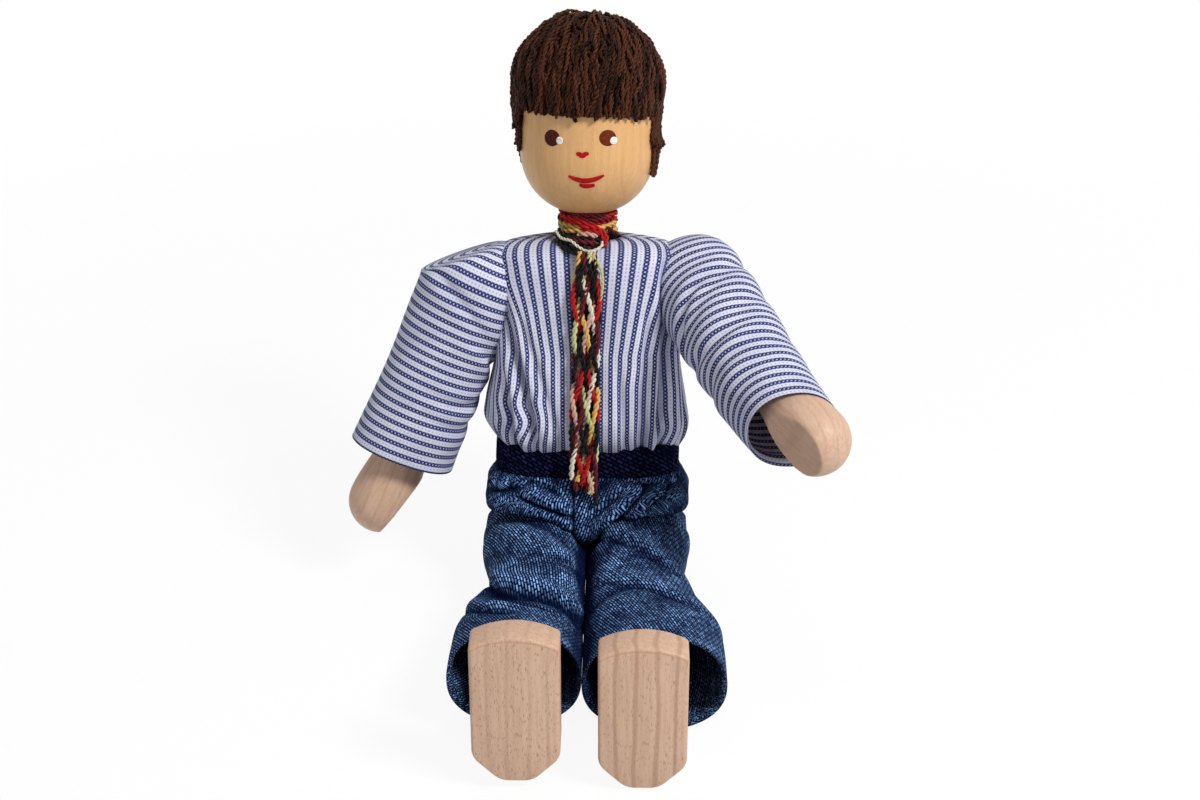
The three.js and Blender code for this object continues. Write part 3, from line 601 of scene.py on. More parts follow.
EYE_DARK = paint("eye_dark_brown", (0.058, 0.0085, 0.003))
EYE_BROWN = paint("eye_brown", (0.135, 0.022, 0.005))
GLINT = paint("eye_white", (0.86, 0.84, 0.80))
RED = paint("face_red", (0.42, 0.006, 0.007))
UPPER_LIP = [(-2.95, 7.5), (-1.69, 6.97), (-0.17, 6.79), (1.51, 7.04), (2.84, 7.66)]
LOWER_LIP = [(-1.24, 6.14), (-0.1, 5.94), (1.39, 6.10)]
face_patch("eye_right", oval(-5.5, 13.16, 1.40, 1.28, 0.15), EYE_DARK)
face_patch("eye_left", oval(3.25, 13.33, 1.38, 1.26, -0.1), EYE_BROWN)
face_patch("eye_glint_right", oval(-4.2, 12.87, 0.58, 0.60), GLINT, 0.16)
face_patch("eye_glint_left", oval(4.16, 12.92, 0.64, 0.62), GLINT, 0.16)
face_patch("nose_mark_right", oval(-1.06, 10.92, 0.56, 0.36, -0.2), RED)
face_patch("nose_mark_left", oval(-0.16, 10.95, 0.58, 0.36, 0.2), RED, 0.11)
face_patch("nose_mark_tip", oval(-0.62, 10.70, 0.56, 0.38), RED, 0.12)
face_patch("mouth", stroke(UPPER_LIP, [0.42, 0.66, 0.84, 0.70, 0.38]), RED)
face_patch("lower_lip", stroke(LOWER_LIP, [0.50, 0.74, 0.52]), RED)


# Yarn: each spline of a curve becomes two twisted plies.
YARN_INPUTS = {"Geometry": "Geometry", "Step": "Float", "Ply Offset": "Float", "Ply Radius": "Float",
               "Twist Pitch": "Float", "Sides": "Int", "Seed": "Int", "Material": "Material"}


def yarn_tree():
    tree = bpy.data.node_groups.new("twisted_yarn", "GeometryNodeTree")
    sockets = {}
    for name, kind in YARN_INPUTS.items():
        socket = tree.interface.new_socket(name, in_out="INPUT", socket_type="NodeSocket" + kind)
        sockets[name] = socket.identifier
    tree.interface.new_socket("Geometry", in_out="OUTPUT", socket_type="NodeSocketGeometry")
    n = Nodes(tree)
    given = tree.nodes.new("NodeGroupInput").outputs
    chance = n.new("FunctionNodeRandomValue", Seed=given["Seed"])
    store = n.new("GeometryNodeStoreNamedAttribute", Geometry=given["Geometry"], Name="strand")
    store.domain = "CURVE"
    n.put(store, "Value", chance.outputs[1])
    resample = n.new("GeometryNodeResampleCurve", Curve=store.outputs[0])
    resample.mode = "LENGTH"
    n.put(resample, "Length", given["Step"])
    tangent = tree.nodes.new("GeometryNodeInputTangent").outputs[0]
    normal = tree.nodes.new("GeometryNodeInputNormal").outputs[0]
    across = n.vmath("CROSS_PRODUCT", tangent, normal)
    length = tree.nodes.new("GeometryNodeSplineParameter").outputs["Length"]
    turn = n.times(n.math("DIVIDE", length, given["Twist Pitch"]), 2 * math.pi)
    circle = n.new("GeometryNodeCurvePrimitiveCircle", Resolution=given["Sides"], Radius=given["Ply Radius"])
    plies = tree.nodes.new("GeometryNodeJoinGeometry")
    for phase in (0.0, math.pi):
        angle = n.plus(turn, phase)
        c, s = (n.times(n.math(f, angle), given["Ply Offset"]) for f in ("COSINE", "SINE"))
        moved = n.vmath("ADD", n.vmath("SCALE", normal, scale=c), n.vmath("SCALE", across, scale=s))
        place = n.new("GeometryNodeSetPosition", Geometry=resample.outputs[0], Offset=moved)
        tube = n.new("GeometryNodeCurveToMesh", Curve=place.outputs[0], Profile_Curve=circle.outputs[0],
                     Fill_Caps=True)
        tree.links.new(tube.outputs[0], plies.inputs[0])
    real = n.new("GeometryNodeRealizeInstances", Geometry=plies.outputs[0])
    soft = n.new("GeometryNodeSetShadeSmooth", Geometry=real.outputs[0])
    coloured = n.new("GeometryNodeSetMaterial", Geometry=soft.outputs[0], Material=given["Material"])
    n.new("NodeGroupOutput", Geometry=coloured.outputs[0])
    return tree, sockets


YARN_TREE, YARN_SOCKETS = yarn_tree()
PLY_OFFSET_SHARE, PLY_RADIUS_SHARE, YARN_SEED = 0.25, 0.27, 3


def yarn_mesh(name, paths, mat, diameter, pitch, step, sides):
    """Twisted yarn along paths in the torso's frame, as a plain mesh object."""
    curve = bpy.data.curves.new(name, "CURVE")
    curve.dimensions = "3D"
    for path in paths:
        spline = curve.splines.new("POLY")
        spline.points.add(len(path) - 1)
        spots = np.column_stack([torso_to_row(path) * MM, np.ones(len(path))])
        spline.points.foreach_set("co", spots.ravel())
    obj = add_object(name, curve)
    modifier = obj.modifiers.new("yarn", "NODES")
    modifier.node_group = YARN_TREE
    for key, value in (("Step", step * MM), ("Ply Offset", diameter * PLY_OFFSET_SHARE * MM),
                       ("Ply Radius", diameter * PLY_RADIUS_SHARE * MM), ("Twist Pitch", pitch * MM),
                       ("Sides", sides), ("Seed", YARN_SEED), ("Material", mat)):
        modifier[YARN_SOCKETS[key]] = value
    return plain_mesh(obj)


# Hair: yarn from a whorl behind the crown, an under layer of long strands and short ones lying over it.
HAIR_DIAMETER, HAIR_PITCH = 0.68, 1.7
WHORL = np.array([0.06, 0.30, 0.95])
WHORL /= np.linalg.norm(WHORL)
FRINGE_HALF, BACK_HALF, TEMPLE = 58.0, 72.0, 69.0
FRINGE_END, NAPE_END = 70.75, 61.2
LOCK_END = {LEFT: (65.0, 60.4), RIGHT: (68.4, 64.2)}
UNDER_COUNT, OVER_COUNT, GOLDEN_ANGLE = 116, 760, 137.508
UNDERLAY_LOW, UNDERLAY_GROW = 70.6, 0.22
FRINGE_RAGGED, NAPE_RAGGED, LOCK_RAGGED = 0.28, 0.3, 0.35
STRAND_STEP, ASKEW, WAVE, SWAY, LUMP, HUG, STRAND_LIFT = 0.45, 0.11, 0.20, 0.30, 0.26, 0.55, 0.14
TUCK_FIRST, TUCK_LAST, KICK, NEAREST = 0.45, 0.30, 0.22, 0.34


def hair_cut(azimuth, under):
    """Height where a strand ends: azimuth 0 is the doll's front, positive towards its left, in degrees."""
    fringe = FRINGE_END - 0.5 * azimuth / FRINGE_HALF + rng.normal(0, FRINGE_RAGGED)
    nape = NAPE_END + 0.5 * (not under) + rng.normal(0, NAPE_RAGGED)
    outer, inner = LOCK_END[LEFT if azimuth > 0 else RIGHT]
    lock = (inner + 3.0 * rng.random() ** 2 if under else outer) + rng.normal(0, LOCK_RAGGED)
    if abs(azimuth) < TEMPLE:
        return fringe
    return lock + (nape - lock) * float(smooth(abs(azimuth), 96, 180 - BACK_HALF))


def hair_place(azimuth, along, grow):
    """Places and outward directions on the hair, by azimuth and by distance from the whorl and down."""
    phi = np.radians(azimuth - 90)
    equator = np.stack([np.cos(phi), np.sin(phi), np.zeros_like(phi)], -1)
    angle = np.arccos(np.clip(equator @ WHORL, -1, 1))
    crown = angle * HEAD_RADIUS
    t = np.clip(along / crown, 0, 1)[:, None]
    angle = angle[:, None]
    arc = (np.sin((1 - t) * angle) * WHORL + np.sin(t * angle) * equator) / np.sin(angle)
    drop = np.clip(along - crown, 0, None)
    below = np.clip(HEAD_LOW - HEAD_HIGH + drop, 0, None)
    inward = 0.5 * (HEAD_RADIUS - np.sqrt(np.clip(HEAD_RADIUS ** 2 - below ** 2, 0, None)))
    place = arc * (HEAD_RADIUS + grow - inward)[:, None] + (0, 0, HEAD_HIGH) - np.outer(drop, (0, 0, 1))
    return place, arc


def hair_strand(azimuth, grow, begin, length, under):
    """One strand, wavy and a little askew, lying down at both ends."""
    phi = math.radians(azimuth - 90)
    crown = math.acos(WHORL @ (math.cos(phi), math.sin(phi), 0)) * HEAD_RADIUS
    whole = crown + HEAD_HIGH - hair_cut(azimuth, under)
    begin = begin * whole
    finish = whole if whole - begin - length < 1.8 else begin + length
    along = np.linspace(begin, finish, max(8, int((finish - begin) / STRAND_STEP)))
    run = along - begin
    rest = finish - along
    spread = np.sin(np.clip(along / crown, 0.3, 1) * math.pi / 2)
    askew = math.degrees(rng.normal(0, ASKEW)) * run / (HEAD_RADIUS * spread) * (not under)
    wave = rng.normal(0, WAVE) * np.sin(run * rng.uniform(1.0, 1.9) + 6 * rng.random()) * smooth(run, 0, 2)
    wave = wave + rng.normal(0, SWAY) * np.sin(run * 0.45 + 6 * rng.random())
    turned = azimuth + askew + np.degrees(wave / (HEAD_RADIUS * spread))
    lump = LUMP * np.sin(math.radians(azimuth) * 7 + 1.0) * np.sin(along * 0.55 + 2 * math.radians(azimuth))
    lump = lump * smooth(along, 1, 5) - HUG * smooth(along - crown, 0, 6)
    lift = rng.normal(0, STRAND_LIFT) * np.sin(run * rng.uniform(0.9, 1.7) + 6 * rng.random())
    lift = lift * smooth(along, 1, 5)
    last = 0 if finish == whole else TUCK_LAST * (1 - smooth(rest, 0, 1.6))
    tucked = TUCK_FIRST * (1 - smooth(run, 0, 2.0)) + last
    kick = KICK * (1 - smooth(rest, 0, 2.0)) * (abs(azimuth) > TEMPLE) * (not under)
    grow = grow * (0.5 + 0.5 * smooth(along, 0, 7))
    place, out = hair_place(turned, along, np.maximum(grow + lump + lift - tucked * (not under), NEAREST))
    return place + out * kick[:, None]


hair_paths = {"fringe": [], "side_left": [], "side_right": [], "back": []}


def add_strand(azimuth, grow, begin, length, under=False):
    side = "side_left" if azimuth > 0 else "side_right"
    part = "fringe" if abs(azimuth) < FRINGE_HALF else "back" if abs(azimuth) > 180 - BACK_HALF else side
    hair_paths[part].append(hair_strand(azimuth, grow, begin, length, under))


for i in range(UNDER_COUNT):
    azimuth = (i + 0.5 * rng.random()) * 360 / UNDER_COUNT - 180
    add_strand(azimuth, grow=0.40, begin=(0.03, 0.16, 0.08, 0.3)[i % 4], length=60.0, under=True)
for i in range(OVER_COUNT):
    begin = 0.02 + 0.84 * math.sqrt((i + 0.5) / OVER_COUNT)
    azimuth = (i * GOLDEN_ANGLE) % 360 - 180 + rng.normal(0, 3)
    azimuth = (azimuth + 180) % 360 - 180
    add_strand(azimuth, grow=0.78 + 0.34 * (i % 2), begin=begin, length=rng.uniform(5.5, 11.0))
for part, paths in hair_paths.items():
    piece = yarn_mesh("hair_yarn_" + part, paths, HAIR_YARN, HAIR_DIAMETER, HAIR_PITCH, step=0.34, sides=4)
    dress(piece, "head", "hair_yarn", "hair_" + part)

cap_profile = head_profile(steps=24, grow=UNDERLAY_GROW)
cap_points = lathe(cap_profile[cap_profile[:, 1] > UNDERLAY_LOW], count=96)
dress(wrapped("hair_underlay", torso_to_row(cap_points), HAIR_YARN), "head", "hair_yarn")


# Folds of cloth.
def groove(distance, width, depth):
    """A crease with a raised lip on each side."""
    lips = bump(distance, -2.2 * width, 1.5 * width) + bump(distance, 2.2 * width, 1.5 * width)
    return depth * (0.45 * lips - bump(distance, 0, width))


def crease(x, z, start, end, width, depth):
    """A groove along a line on the cloth, fading out at its ends."""
    along = np.subtract(end, start)
    length = np.linalg.norm(along)
    along = along / length
    run = (x - start[0]) * along[0] + (z - start[1]) * along[1]
    across = (z - start[1]) * along[0] - (x - start[0]) * along[1]
    fade = smooth(run, -0.3 * length, 0.2 * length) * (1 - smooth(run, 0.8 * length, 1.3 * length))
    return groove(across, width, depth) * fade


def overhang(past, depth):
    """Cloth that swells towards a fold and then falls away below it."""
    return depth * (0.55 * bump(past, -1.6, 1.7) - 0.75 * bump(past, 0.9, 0.9) - 0.25 * bump(past, 2.6, 2.0))


# Shirt body, by heights above the hip axle. A crease has a start, an end, a width and a depth.
SHIRT_LOW, SHIRT_HIGH = 16.9, 50.5
SHOULDER_LINE = [(46.5, 14.6), (48.4, 14.1), (49.5, 12.2), (50.1, 9.0), (50.5, 5.3)]
SHIRT_SIDE = {
    LEFT: [(16.9, 13.9), (18.6, 14.9), (20.5, 15.5), (24, 15.4), (31, 14.7), (37, 14.4)] + SHOULDER_LINE,
    RIGHT: [(16.9, 13.9), (18.6, 15.2), (21, 16.4), (24, 16.2), (31, 14.9), (37, 14.4)] + SHOULDER_LINE}
SHIRT_FRONT = [(16.9, 7.7), (18.6, 9.0), (20.5, 9.7), (26, 9.6), (36, 9.1), (43, 8.8), (46.5, 8.2),
               (48.4, 7.4), (49.7, 6.3), (50.5, 5.2)]
PLEATS = 44
STRIPE_FAN, FAN_FROM, SEAM_TO = 0.026, 33.0, 45.0
SHIRT_CREASES = [((-13.2, 41.0), (-7.5, 18.5), 0.8, 1.1), ((-10.2, 38.0), (-4.4, 20.0), 0.7, 0.6),
                 ((12.4, 46.0), (11.6, 20.0), 0.8, 1.2), ((9.6, 40.0), (9.0, 18.0), 0.7, 0.5),
                 ((-12.6, 28.0), (-11.0, 17.5), 0.6, 0.8), ((5.2, 30.0), (6.0, 17.5), 0.6, 0.5)]
# Soft vertical drapes: rise, angle, slant, width, heights where it grows, height where it fades.
SHIRT_DRAPES = [(0.35, 2 * math.pi - 0.75, 0.012, 0.11, 22, 30, 45),
                (-0.3, 2 * math.pi - 0.98, 0.012, 0.10, 22, 30, 45),
                (0.3, math.pi + 0.7, -0.018, 0.12, 20, 32, 44)]


def shirt_points(rows, cols):
    t = np.linspace(0, 1, rows)
    z = (SHIRT_LOW + (SHIRT_HIGH - SHIRT_LOW) * (1.12 * t - 0.12 * t ** 3))[:, None]
    z = np.minimum(z, SHIRT_HIGH)
    angle = around(cols, math.pi)[None, :]
    px, py = power_circle(angle, SHIRT_SQUARE)
    left, right = stations(SHIRT_SIDE[LEFT], z), stations(SHIRT_SIDE[RIGHT], z)
    half = right + (left - right) * (0.5 + 0.5 * np.cos(angle))
    neck = smooth(z, 48.0, SHIRT_HIGH)
    px, py = px * (1 - neck) + np.cos(angle) * neck, py * (1 - neck) + np.sin(angle) * neck
    gather = 1 - smooth(z, SHIRT_LOW, 36.0)
    fold = np.zeros_like(px + z)
    pleats = zip(rng.uniform(0, 2 * math.pi, PLEATS), rng.uniform(0.05, 0.12, PLEATS),
                 rng.normal(0, 0.46, PLEATS), rng.uniform(0.7, 2.6, PLEATS))
    for centre, width, tuck, reach in pleats:
        turn = np.angle(np.exp(1j * (angle - centre - 0.01 * (z - 30) * np.sign(tuck))))
        fold = fold + tuck * bump(turn, 0, width) * gather ** reach
    for rise, place, slant, width, low, high, fade in SHIRT_DRAPES:
        drape = rise * bump(angle, place + slant * (z - 34), width)
        fold = fold + drape * smooth(z, low, high) * (1 - smooth(z, fade, 49))
    for line in SHIRT_CREASES:
        fold = fold + crease(half * px, z, *line) * smooth(-np.sin(angle), 0.0, 0.3)
    x, y = half * px + fold * np.cos(angle), stations(SHIRT_FRONT, z) * py + fold * np.sin(angle)
    return np.stack([x, y, np.broadcast_to(z, x.shape)], -1), fold


body_points, body_fold = shirt_points(rows=110, cols=321)
body_panels = []
for columns in (slice(0, 161), slice(160, 321)):
    panel = body_points[:, columns]
    spread = arc_uv(panel)
    spread[..., 0] /= 1 + STRIPE_FAN * np.clip(panel[..., 2] - FAN_FROM, 0, None)
    across = spread[panel[:, 0, 2] < FAN_FROM, :, 0].mean(0, keepdims=True)
    by_seam = smooth(np.abs(across) / np.abs(across).max(), 0.3, 1.0)
    by_seam = by_seam * (1 - smooth(panel[..., 2], FAN_FROM, SEAM_TO))
    spread[..., 0] += (across - spread[..., 0]) * by_seam
    body_panels.append((torso_to_row(panel), spread, body_fold[:, columns]))
shirt = cloth("shirt_cloth", body_panels, SHIRTING, SHIRT_THICK)
dress(shirt, "torso", "shirting", "shirt_body")


# Sleeves: a cap round the shoulder and a tube to a turned cuff, by the way down the arm.
SLEEVE_OUT = {LEFT: [(0, 7.8), (10, 7.2), (20, 6.6), (31, 5.9), (38, 5.5)],
              RIGHT: [(0, 9.4), (6, 9.2), (16, 8.6), (31.2, 8.7)]}
SLEEVE_IN = {LEFT: [(0, 8.0), (14, 7.9), (24, 7.8), (32, 7.1), (38, 6.4)],
             RIGHT: [(0, 7.4), (14, 7.2), (24, 7.9), (31.2, 8.5)]}
SLEEVE_DEEP = {LEFT: [(0, 8.0), (14, 7.6), (24, 7.8), (38, 7.2)],
               RIGHT: [(0, 8.0), (14, 7.6), (24, 7.9), (38, 8.2)]}
SLEEVE_END = {LEFT: (37.0, 32.2), RIGHT: (31.3, 30.0)}
SLEEVE_SAG = {LEFT: 2.2, RIGHT: 0.6}
# Creases: slope by front and by side, place, width and depth.
ARMPIT_CREASES = [(-3.0, 2.0, 9.5, 0.9, 0.6), (3.4, 2.0, 14.5, 0.9, 0.5), (1.5, 1.0, 20.5, 1.1, 0.35)]
FRONT_CREASES = {LEFT: [(0, 4.6, 8.0, 1.3, 0.34), (0, 4.0, 15.5, 1.5, 0.26), (0, 3.4, 24.5, 1.6, 0.2)],
                 RIGHT: [(0, 5.0, 3.5, 1.1, 0.5)]}
FRONT_REACH = {LEFT: 0.8, RIGHT: 0.7}
# The cuff is turned in: share of the way down, and how far inside the sleeve.
CUFF = [(0.93, 0.75), (0.97, 0.6)]
SLEEVE_STRIPES = (0.97, 1.0)
ROOF_CORNER, ROOF_SLOPE, ROOF_ROUND = (9.4, -1.7), 0.98, 1.2


def soft_lower(a, b, blend):
    """The lower of two heights, rounded where they cross."""
    h = np.clip(0.5 + 0.5 * (b - a) / blend, 0, 1)
    return b + (a - b) * h - blend * h * (1 - h)


def sleeve_points(side, rows, cols):
    px, py = power_circle(around(cols)[None, :], SLEEVE_SQUARE)
    lateral = px * side
    outer_end, inner_end = SLEEVE_END[side]
    end = (outer_end + inner_end) / 2 + (outer_end - inner_end) / 2 * lateral
    armpit, front = bump(lateral, -1, 0.9), bump(py, -FRONT_REACH[side], FRONT_REACH[side])
    rings = []
    for t, shrink in CUFF + [(t, 0.0) for t in np.linspace(1, 0, rows)]:
        s = t * end
        half = np.where(lateral > 0, stations(SLEEVE_OUT[side], s), stations(SLEEVE_IN[side], s)) - shrink
        deep = stations(SLEEVE_DEEP[side], s) - shrink
        fold = 0.0
        for creases, where in ((ARMPIT_CREASES, armpit), (FRONT_CREASES[side], front)):
            for by_front, by_side, place, width, depth in creases:
                fold = fold + groove(s + by_front * py + by_side * lateral - place, width, depth) * where
        fold = fold * (shrink == 0) * smooth(end - s, 0, 4)
        sag = SLEEVE_SAG[side] * smooth(s, 8, 31)
        rings.append(np.stack([(half + fold) * px, (deep + fold) * py + sag, -s], -1)[0])
    half = np.where(lateral > 0, SLEEVE_OUT[side][0][1], SLEEVE_IN[side][0][1])
    deep = SLEEVE_DEEP[side][0][1]
    for a in np.linspace(0.06, 0.98, rows // 3) * math.pi / 2:
        high = np.full_like(px, deep * math.sin(a))
        rings.append(np.stack([half * math.cos(a) * px, deep * math.cos(a) * py, high], -1)[0])
    points = np.array(rings)
    if side == RIGHT:
        roof = ROOF_CORNER[1] + (ROOF_CORNER[0] - side * points[..., 0]) * ROOF_SLOPE
        points[..., 2] = soft_lower(points[..., 2], roof, ROOF_ROUND)
    return points


for side, name in SIDE_NAME.items():
    points = sleeve_points(side, rows=66, cols=150)
    place = splayed_to_row(turn_y(points, -side * SPLAY), side)
    panel = (place, arc_uv(points, across_first=False) * SLEEVE_STRIPES, 0.0)
    sleeve = cloth("sleeve_cloth_" + name, [panel], SHIRTING, SHIRT_THICK)
    dress(sleeve, "arm_" + name, "shirting", "sleeve_" + name)


# Arms and hands, turned, with the palm sanded flat.
ARM_LENGTH, HAND_RADIUS, ARM_RADIUS, ARM_TOP, WRIST = 44.8, 5.3, 3.9, 4.2, 12.0
PALM_FROM_TIP, PALM_OFFSET, PALM_SLOPE = 10.8, 4.4, math.radians(14)
HAND_AT = HAND_RADIUS - ARM_LENGTH
PLAIN_ARM, GRAIN_APART = (18.0, 8.4), 30
quarter = np.linspace(0, math.pi / 2, 26)
arm_profile = [(HAND_RADIUS * math.sin(a), HAND_AT - HAND_RADIUS * math.cos(a)) for a in quarter]
for t in np.linspace(0.03, 1, 26):
    slimmer = (ARM_RADIUS - HAND_RADIUS) * float(smooth(t, 0, 1))
    arm_profile.append((HAND_RADIUS + slimmer, HAND_AT + WRIST * t))
arm_profile += [(ARM_RADIUS, -low) for low in PLAIN_ARM]
arm_profile += [(ARM_TOP * math.cos(a), ARM_TOP * math.sin(a)) for a in np.linspace(0, math.pi / 2, 14)]
for side, name in SIDE_NAME.items():
    points = lathe(arm_profile, count=72)
    normal = np.array([-side * math.cos(PALM_SLOPE), 0, -math.sin(PALM_SLOPE)])
    start = np.array([-side * PALM_OFFSET, 0, PALM_FROM_TIP - ARM_LENGTH])
    flat = points - np.clip((points - start) @ normal, 0, None)[..., None] * normal
    beside = turn_y(flat, -side * SPLAY)
    beside[..., 0] = side * np.maximum(side * beside[..., 0], -ARM_TOP)
    grain = flat + (side * GRAIN_APART, 0, 0)
    arm = wrapped("arm_wood_" + name, splayed_to_row(beside, side), BEECH, grain)
    dress(arm, "arm_" + name, "beech", "arm_" + name)


# Waistband: a stitched band, a little rounded.
BAND_LOW, BAND_HIGH, BAND_HALF, BAND_DEEP = 12.3, 17.6, 14.75, 8.05


def band_points(rows, cols):
    t = np.linspace(0, 1, rows)[:, None]
    angle = around(cols)[None, :]
    px, py = power_circle(angle, BAND_SQUARE)
    swell = 0.35 * np.sin(math.pi * t) ** 0.5 - 0.25
    swell = swell + 0.09 * np.sin(23 * angle) + 0.06 * np.sin(41 * angle + 1)
    z = BAND_LOW + (BAND_HIGH - BAND_LOW) * t + 0.14 * np.sin(5 * angle)
    return np.stack([(BAND_HALF + swell) * px, (BAND_DEEP + swell) * py, z], -1)


points = band_points(rows=24, cols=260)
band = cloth("waistband_cloth", [(torso_to_row(points), arc_uv(points), 0.3)], BAND, BAND_THICK)
dress(band, "torso", "webbing", "waistband")


# Trouser seat, with the gusset between the legs.
SEAT_HIGH, SEAT_BACK, SEAT_HALF, SEAT_DEEP = 12.7, 1.2, 14.6, 7.9
SEAT_EDGE = [(0, 0.6), (0.1, 1.8), (0.22, 4.0), (0.4, 5.6), (0.65, 6.0), (1, 4.8)]
SEAT_CREASES = [((-10.5, 9.6), (-3.0, 7.0), 0.6, 1.5), ((-2.3, 13.2), (-1.9, 3.4), 0.45, 0.9),
                ((1.6, 6.8), (5.6, 10.2), 0.5, 1.4), ((3.0, 5.0), (9.0, 10.4), 0.60, 1.9),
                ((9.0, 8.2), (13.4, 10.8), 0.5, 1.2), ((-15.6, 9.4), (-9.5, 11.2), 0.55, 0.9),
                ((6.0, 11.9), (12.5, 11.2), 0.45, 0.6), ((-8.5, 11.8), (-4.0, 9.8), 0.45, 0.7)]
GUSSET_HALF, GUSSET_RADIUS, GUSSET_LOW, ABOVE_GROUND = 4.6, 7.35, -6.95, 0.05
GUSSET_TURN = (math.radians(-25), math.radians(228))


def seat_points(rows, cols):
    t = np.linspace(0, 1, rows)[:, None]
    angle = around(cols)[None, :]
    px, py = power_circle(angle, SEAT_SQUARE)
    tuck = smooth(0.5 - 0.5 * np.sin(angle), 0.22, 0.6)
    low = SEAT_BACK + (stations(SEAT_EDGE, np.abs(px)) - SEAT_BACK) * tuck
    z = SEAT_HIGH + (low - SEAT_HIGH) * t
    bulge = smooth(t, 0, 0.42)
    centre = bump(px, 0, 0.2) * tuck
    turn_in = tuck * smooth(t, 0.74, 1.0) ** 1.2
    half = (SEAT_HALF + 1.5 * bulge) * (1 - 0.16 * turn_in)
    depth = SEAT_DEEP + 1.2 * bulge + 1.5 * tuck * smooth(t, 0.2, 0.74)
    depth = depth * (1 - (0.55 - 0.30 * centre) * turn_in)
    fold = 0.28 * np.sin(19 * angle + 1.4 * np.sin(3 * angle))
    fold = fold * smooth(t, 0, 0.12) * (1 - smooth(t, 0.1, 0.6))
    for line in SEAT_CREASES:
        fold = fold + crease(half * px, z, *line) * tuck
    fold = fold + groove(t - 0.55 + 0.06 * np.sin(6 * angle), 0.07, 0.4) * (1 - tuck)
    fold = fold + groove(t - 0.80 + 0.05 * np.sin(5 * angle + 1), 0.05, 0.3) * (1 - tuck)
    # Painted shade on the seat: a little all over, more just under the band and where the front tucks in at
    # the bottom.
    painted_shade = 0.25 + 0.3 * (1 - smooth(t, 0, 0.4)) + 1.1 * tuck * smooth(t, 0.80, 0.95)
    points = np.stack([half * px + fold * np.cos(angle), depth * py + fold * np.sin(angle), z], -1)
    return points, 1.5 * fold - painted_shade


points, rises = seat_points(rows=84, cols=300)
panel = (torso_to_row(points), arc_uv(points, even=False), rises)
seat = cloth("trouser_seat_cloth", [panel], DENIM, DENIM_THICK)
dress(seat, "torso", "denim", "trouser_seat")

turn = np.linspace(*GUSSET_TURN, 60)[:, None]
width = np.linspace(-GUSSET_HALF, GUSSET_HALF, 24)[None, :]
radius = GUSSET_RADIUS + 0.25 * np.cos(turn * 2) + 0.35 * (width / GUSSET_HALF) ** 2
height = np.maximum(-radius * np.sin(turn), GUSSET_LOW)
points = np.stack([width + 0 * turn, radius * np.cos(turn), height], -1)
place = torso_to_row(points)
place[..., 2] = np.maximum(place[..., 2], ABOVE_GROUND)
# The gusset's low rise is painted shade between the legs.
gusset = cloth("trouser_gusset_cloth", [(place, arc_uv(points), -0.8)], DENIM, DENIM_THICK)
dress(gusset, "torso", "denim")

# Trouser legs, by the way down the leg.
TROUSER_LENGTH, KNUCKLE, TROUSER_BACK, BACK_LIMIT = 43.5, 6.8, 6.85, 6.95
TROUSER_OUT = {RIGHT: [(0, 16.9), (4, 17.0), (8, 16.6), (12, 15.8), (16, 14.9), (20, 15.4), (23.5, 17.4),
                       (27, 18.8), (30, 19.3), (43.5, 19.6)],
               LEFT: [(0, 16.4), (4, 16.5), (8, 16.2), (11.5, 15.7), (15.5, 16.0), (19, 16.8), (22.5, 18.0),
                      (26, 19.6), (29.5, 20.6), (43.5, 21.1)]}
TROUSER_FRONT = {RIGHT: [(0, 6.8), (4, 7.7), (9, 8.0), (15, 7.6), (22, 7.0), (27, 6.2), (31, 6.6), (36, 7.8),
                         (43.5, 9.3)],
                 LEFT: [(0, 6.8), (4, 7.6), (9, 7.8), (16, 7.3), (24, 6.9), (34, 8.0), (43.5, 9.3)]}
CROTCH_GAP = [(0, 0.5), (5, 1.1), (12, 0.9), (22, 0.5), (32, 0.5), (43.5, 0.3)]
# The hem is turned in: how far up, and how far inside the leg.
HEM = [(1.8, 0.75), (0.9, 0.6)]


def leg_folds(side, s, lateral, top, angle):
    """How far the cloth of a leg stands out, by the way along it and round it."""
    out, inner = np.clip(lateral, 0, 1) ** 2, np.clip(-lateral, 0, 1)
    upper = np.clip(top + 0.35 + 0.4 * np.clip(lateral, 0, 1), 0, 1)
    if side == RIGHT:
        over = upper * (1 - 0.75 * out)
        folds = [overhang(s - 27.5 + 9.5 * out - 0.8 * inner, 2.2) * over,
                 overhang(s - 34.5 + 9.0 * out, 1.5) * over * smooth(lateral, -0.2, 0.4),
                 groove(s - 31.8 + 6.0 * out + 3.0 * lateral, 0.7, 0.7) * upper * bump(lateral, -0.2, 0.5),
                 groove(s - 20.5 - 3.0 * lateral, 1.3, 0.6) * bump(lateral, -0.7, 0.6) * top,
                 0.42 * np.sin(0.95 * s + 2 * lateral) * bump(s, 22, 9) * bump(lateral, -0.85, 0.4) * top,
                 groove(s - 9.5 + 5.0 * lateral, 1.6, 0.5) * bump(lateral, 0.2, 0.7) * upper]
    else:
        folds = [groove(s - 5.0 + 4.0 * lateral, 1.1, 0.9) * upper,
                 overhang(s - 14.5 - 7.0 * lateral, 0.8) * upper * (1 - out),
                 overhang(s - 26.0 - 6.0 * lateral, 0.8) * bump(lateral, 0.0, 0.8) * upper,
                 groove(s - 25.0 + 2.0 * lateral, 1.2, 0.5) * bump(lateral, -0.7, 0.5) * top]
    folds.append(0.15 * np.sin(0.55 * s + 4.1 * lateral) * smooth(s, 2, 9) * (0.3 + 0.7 * top))
    folds.append(0.25 * np.sin(5 * angle + 0.4) * smooth(s, 30, TROUSER_LENGTH) * (0.25 + 0.75 * top))
    return sum(folds)


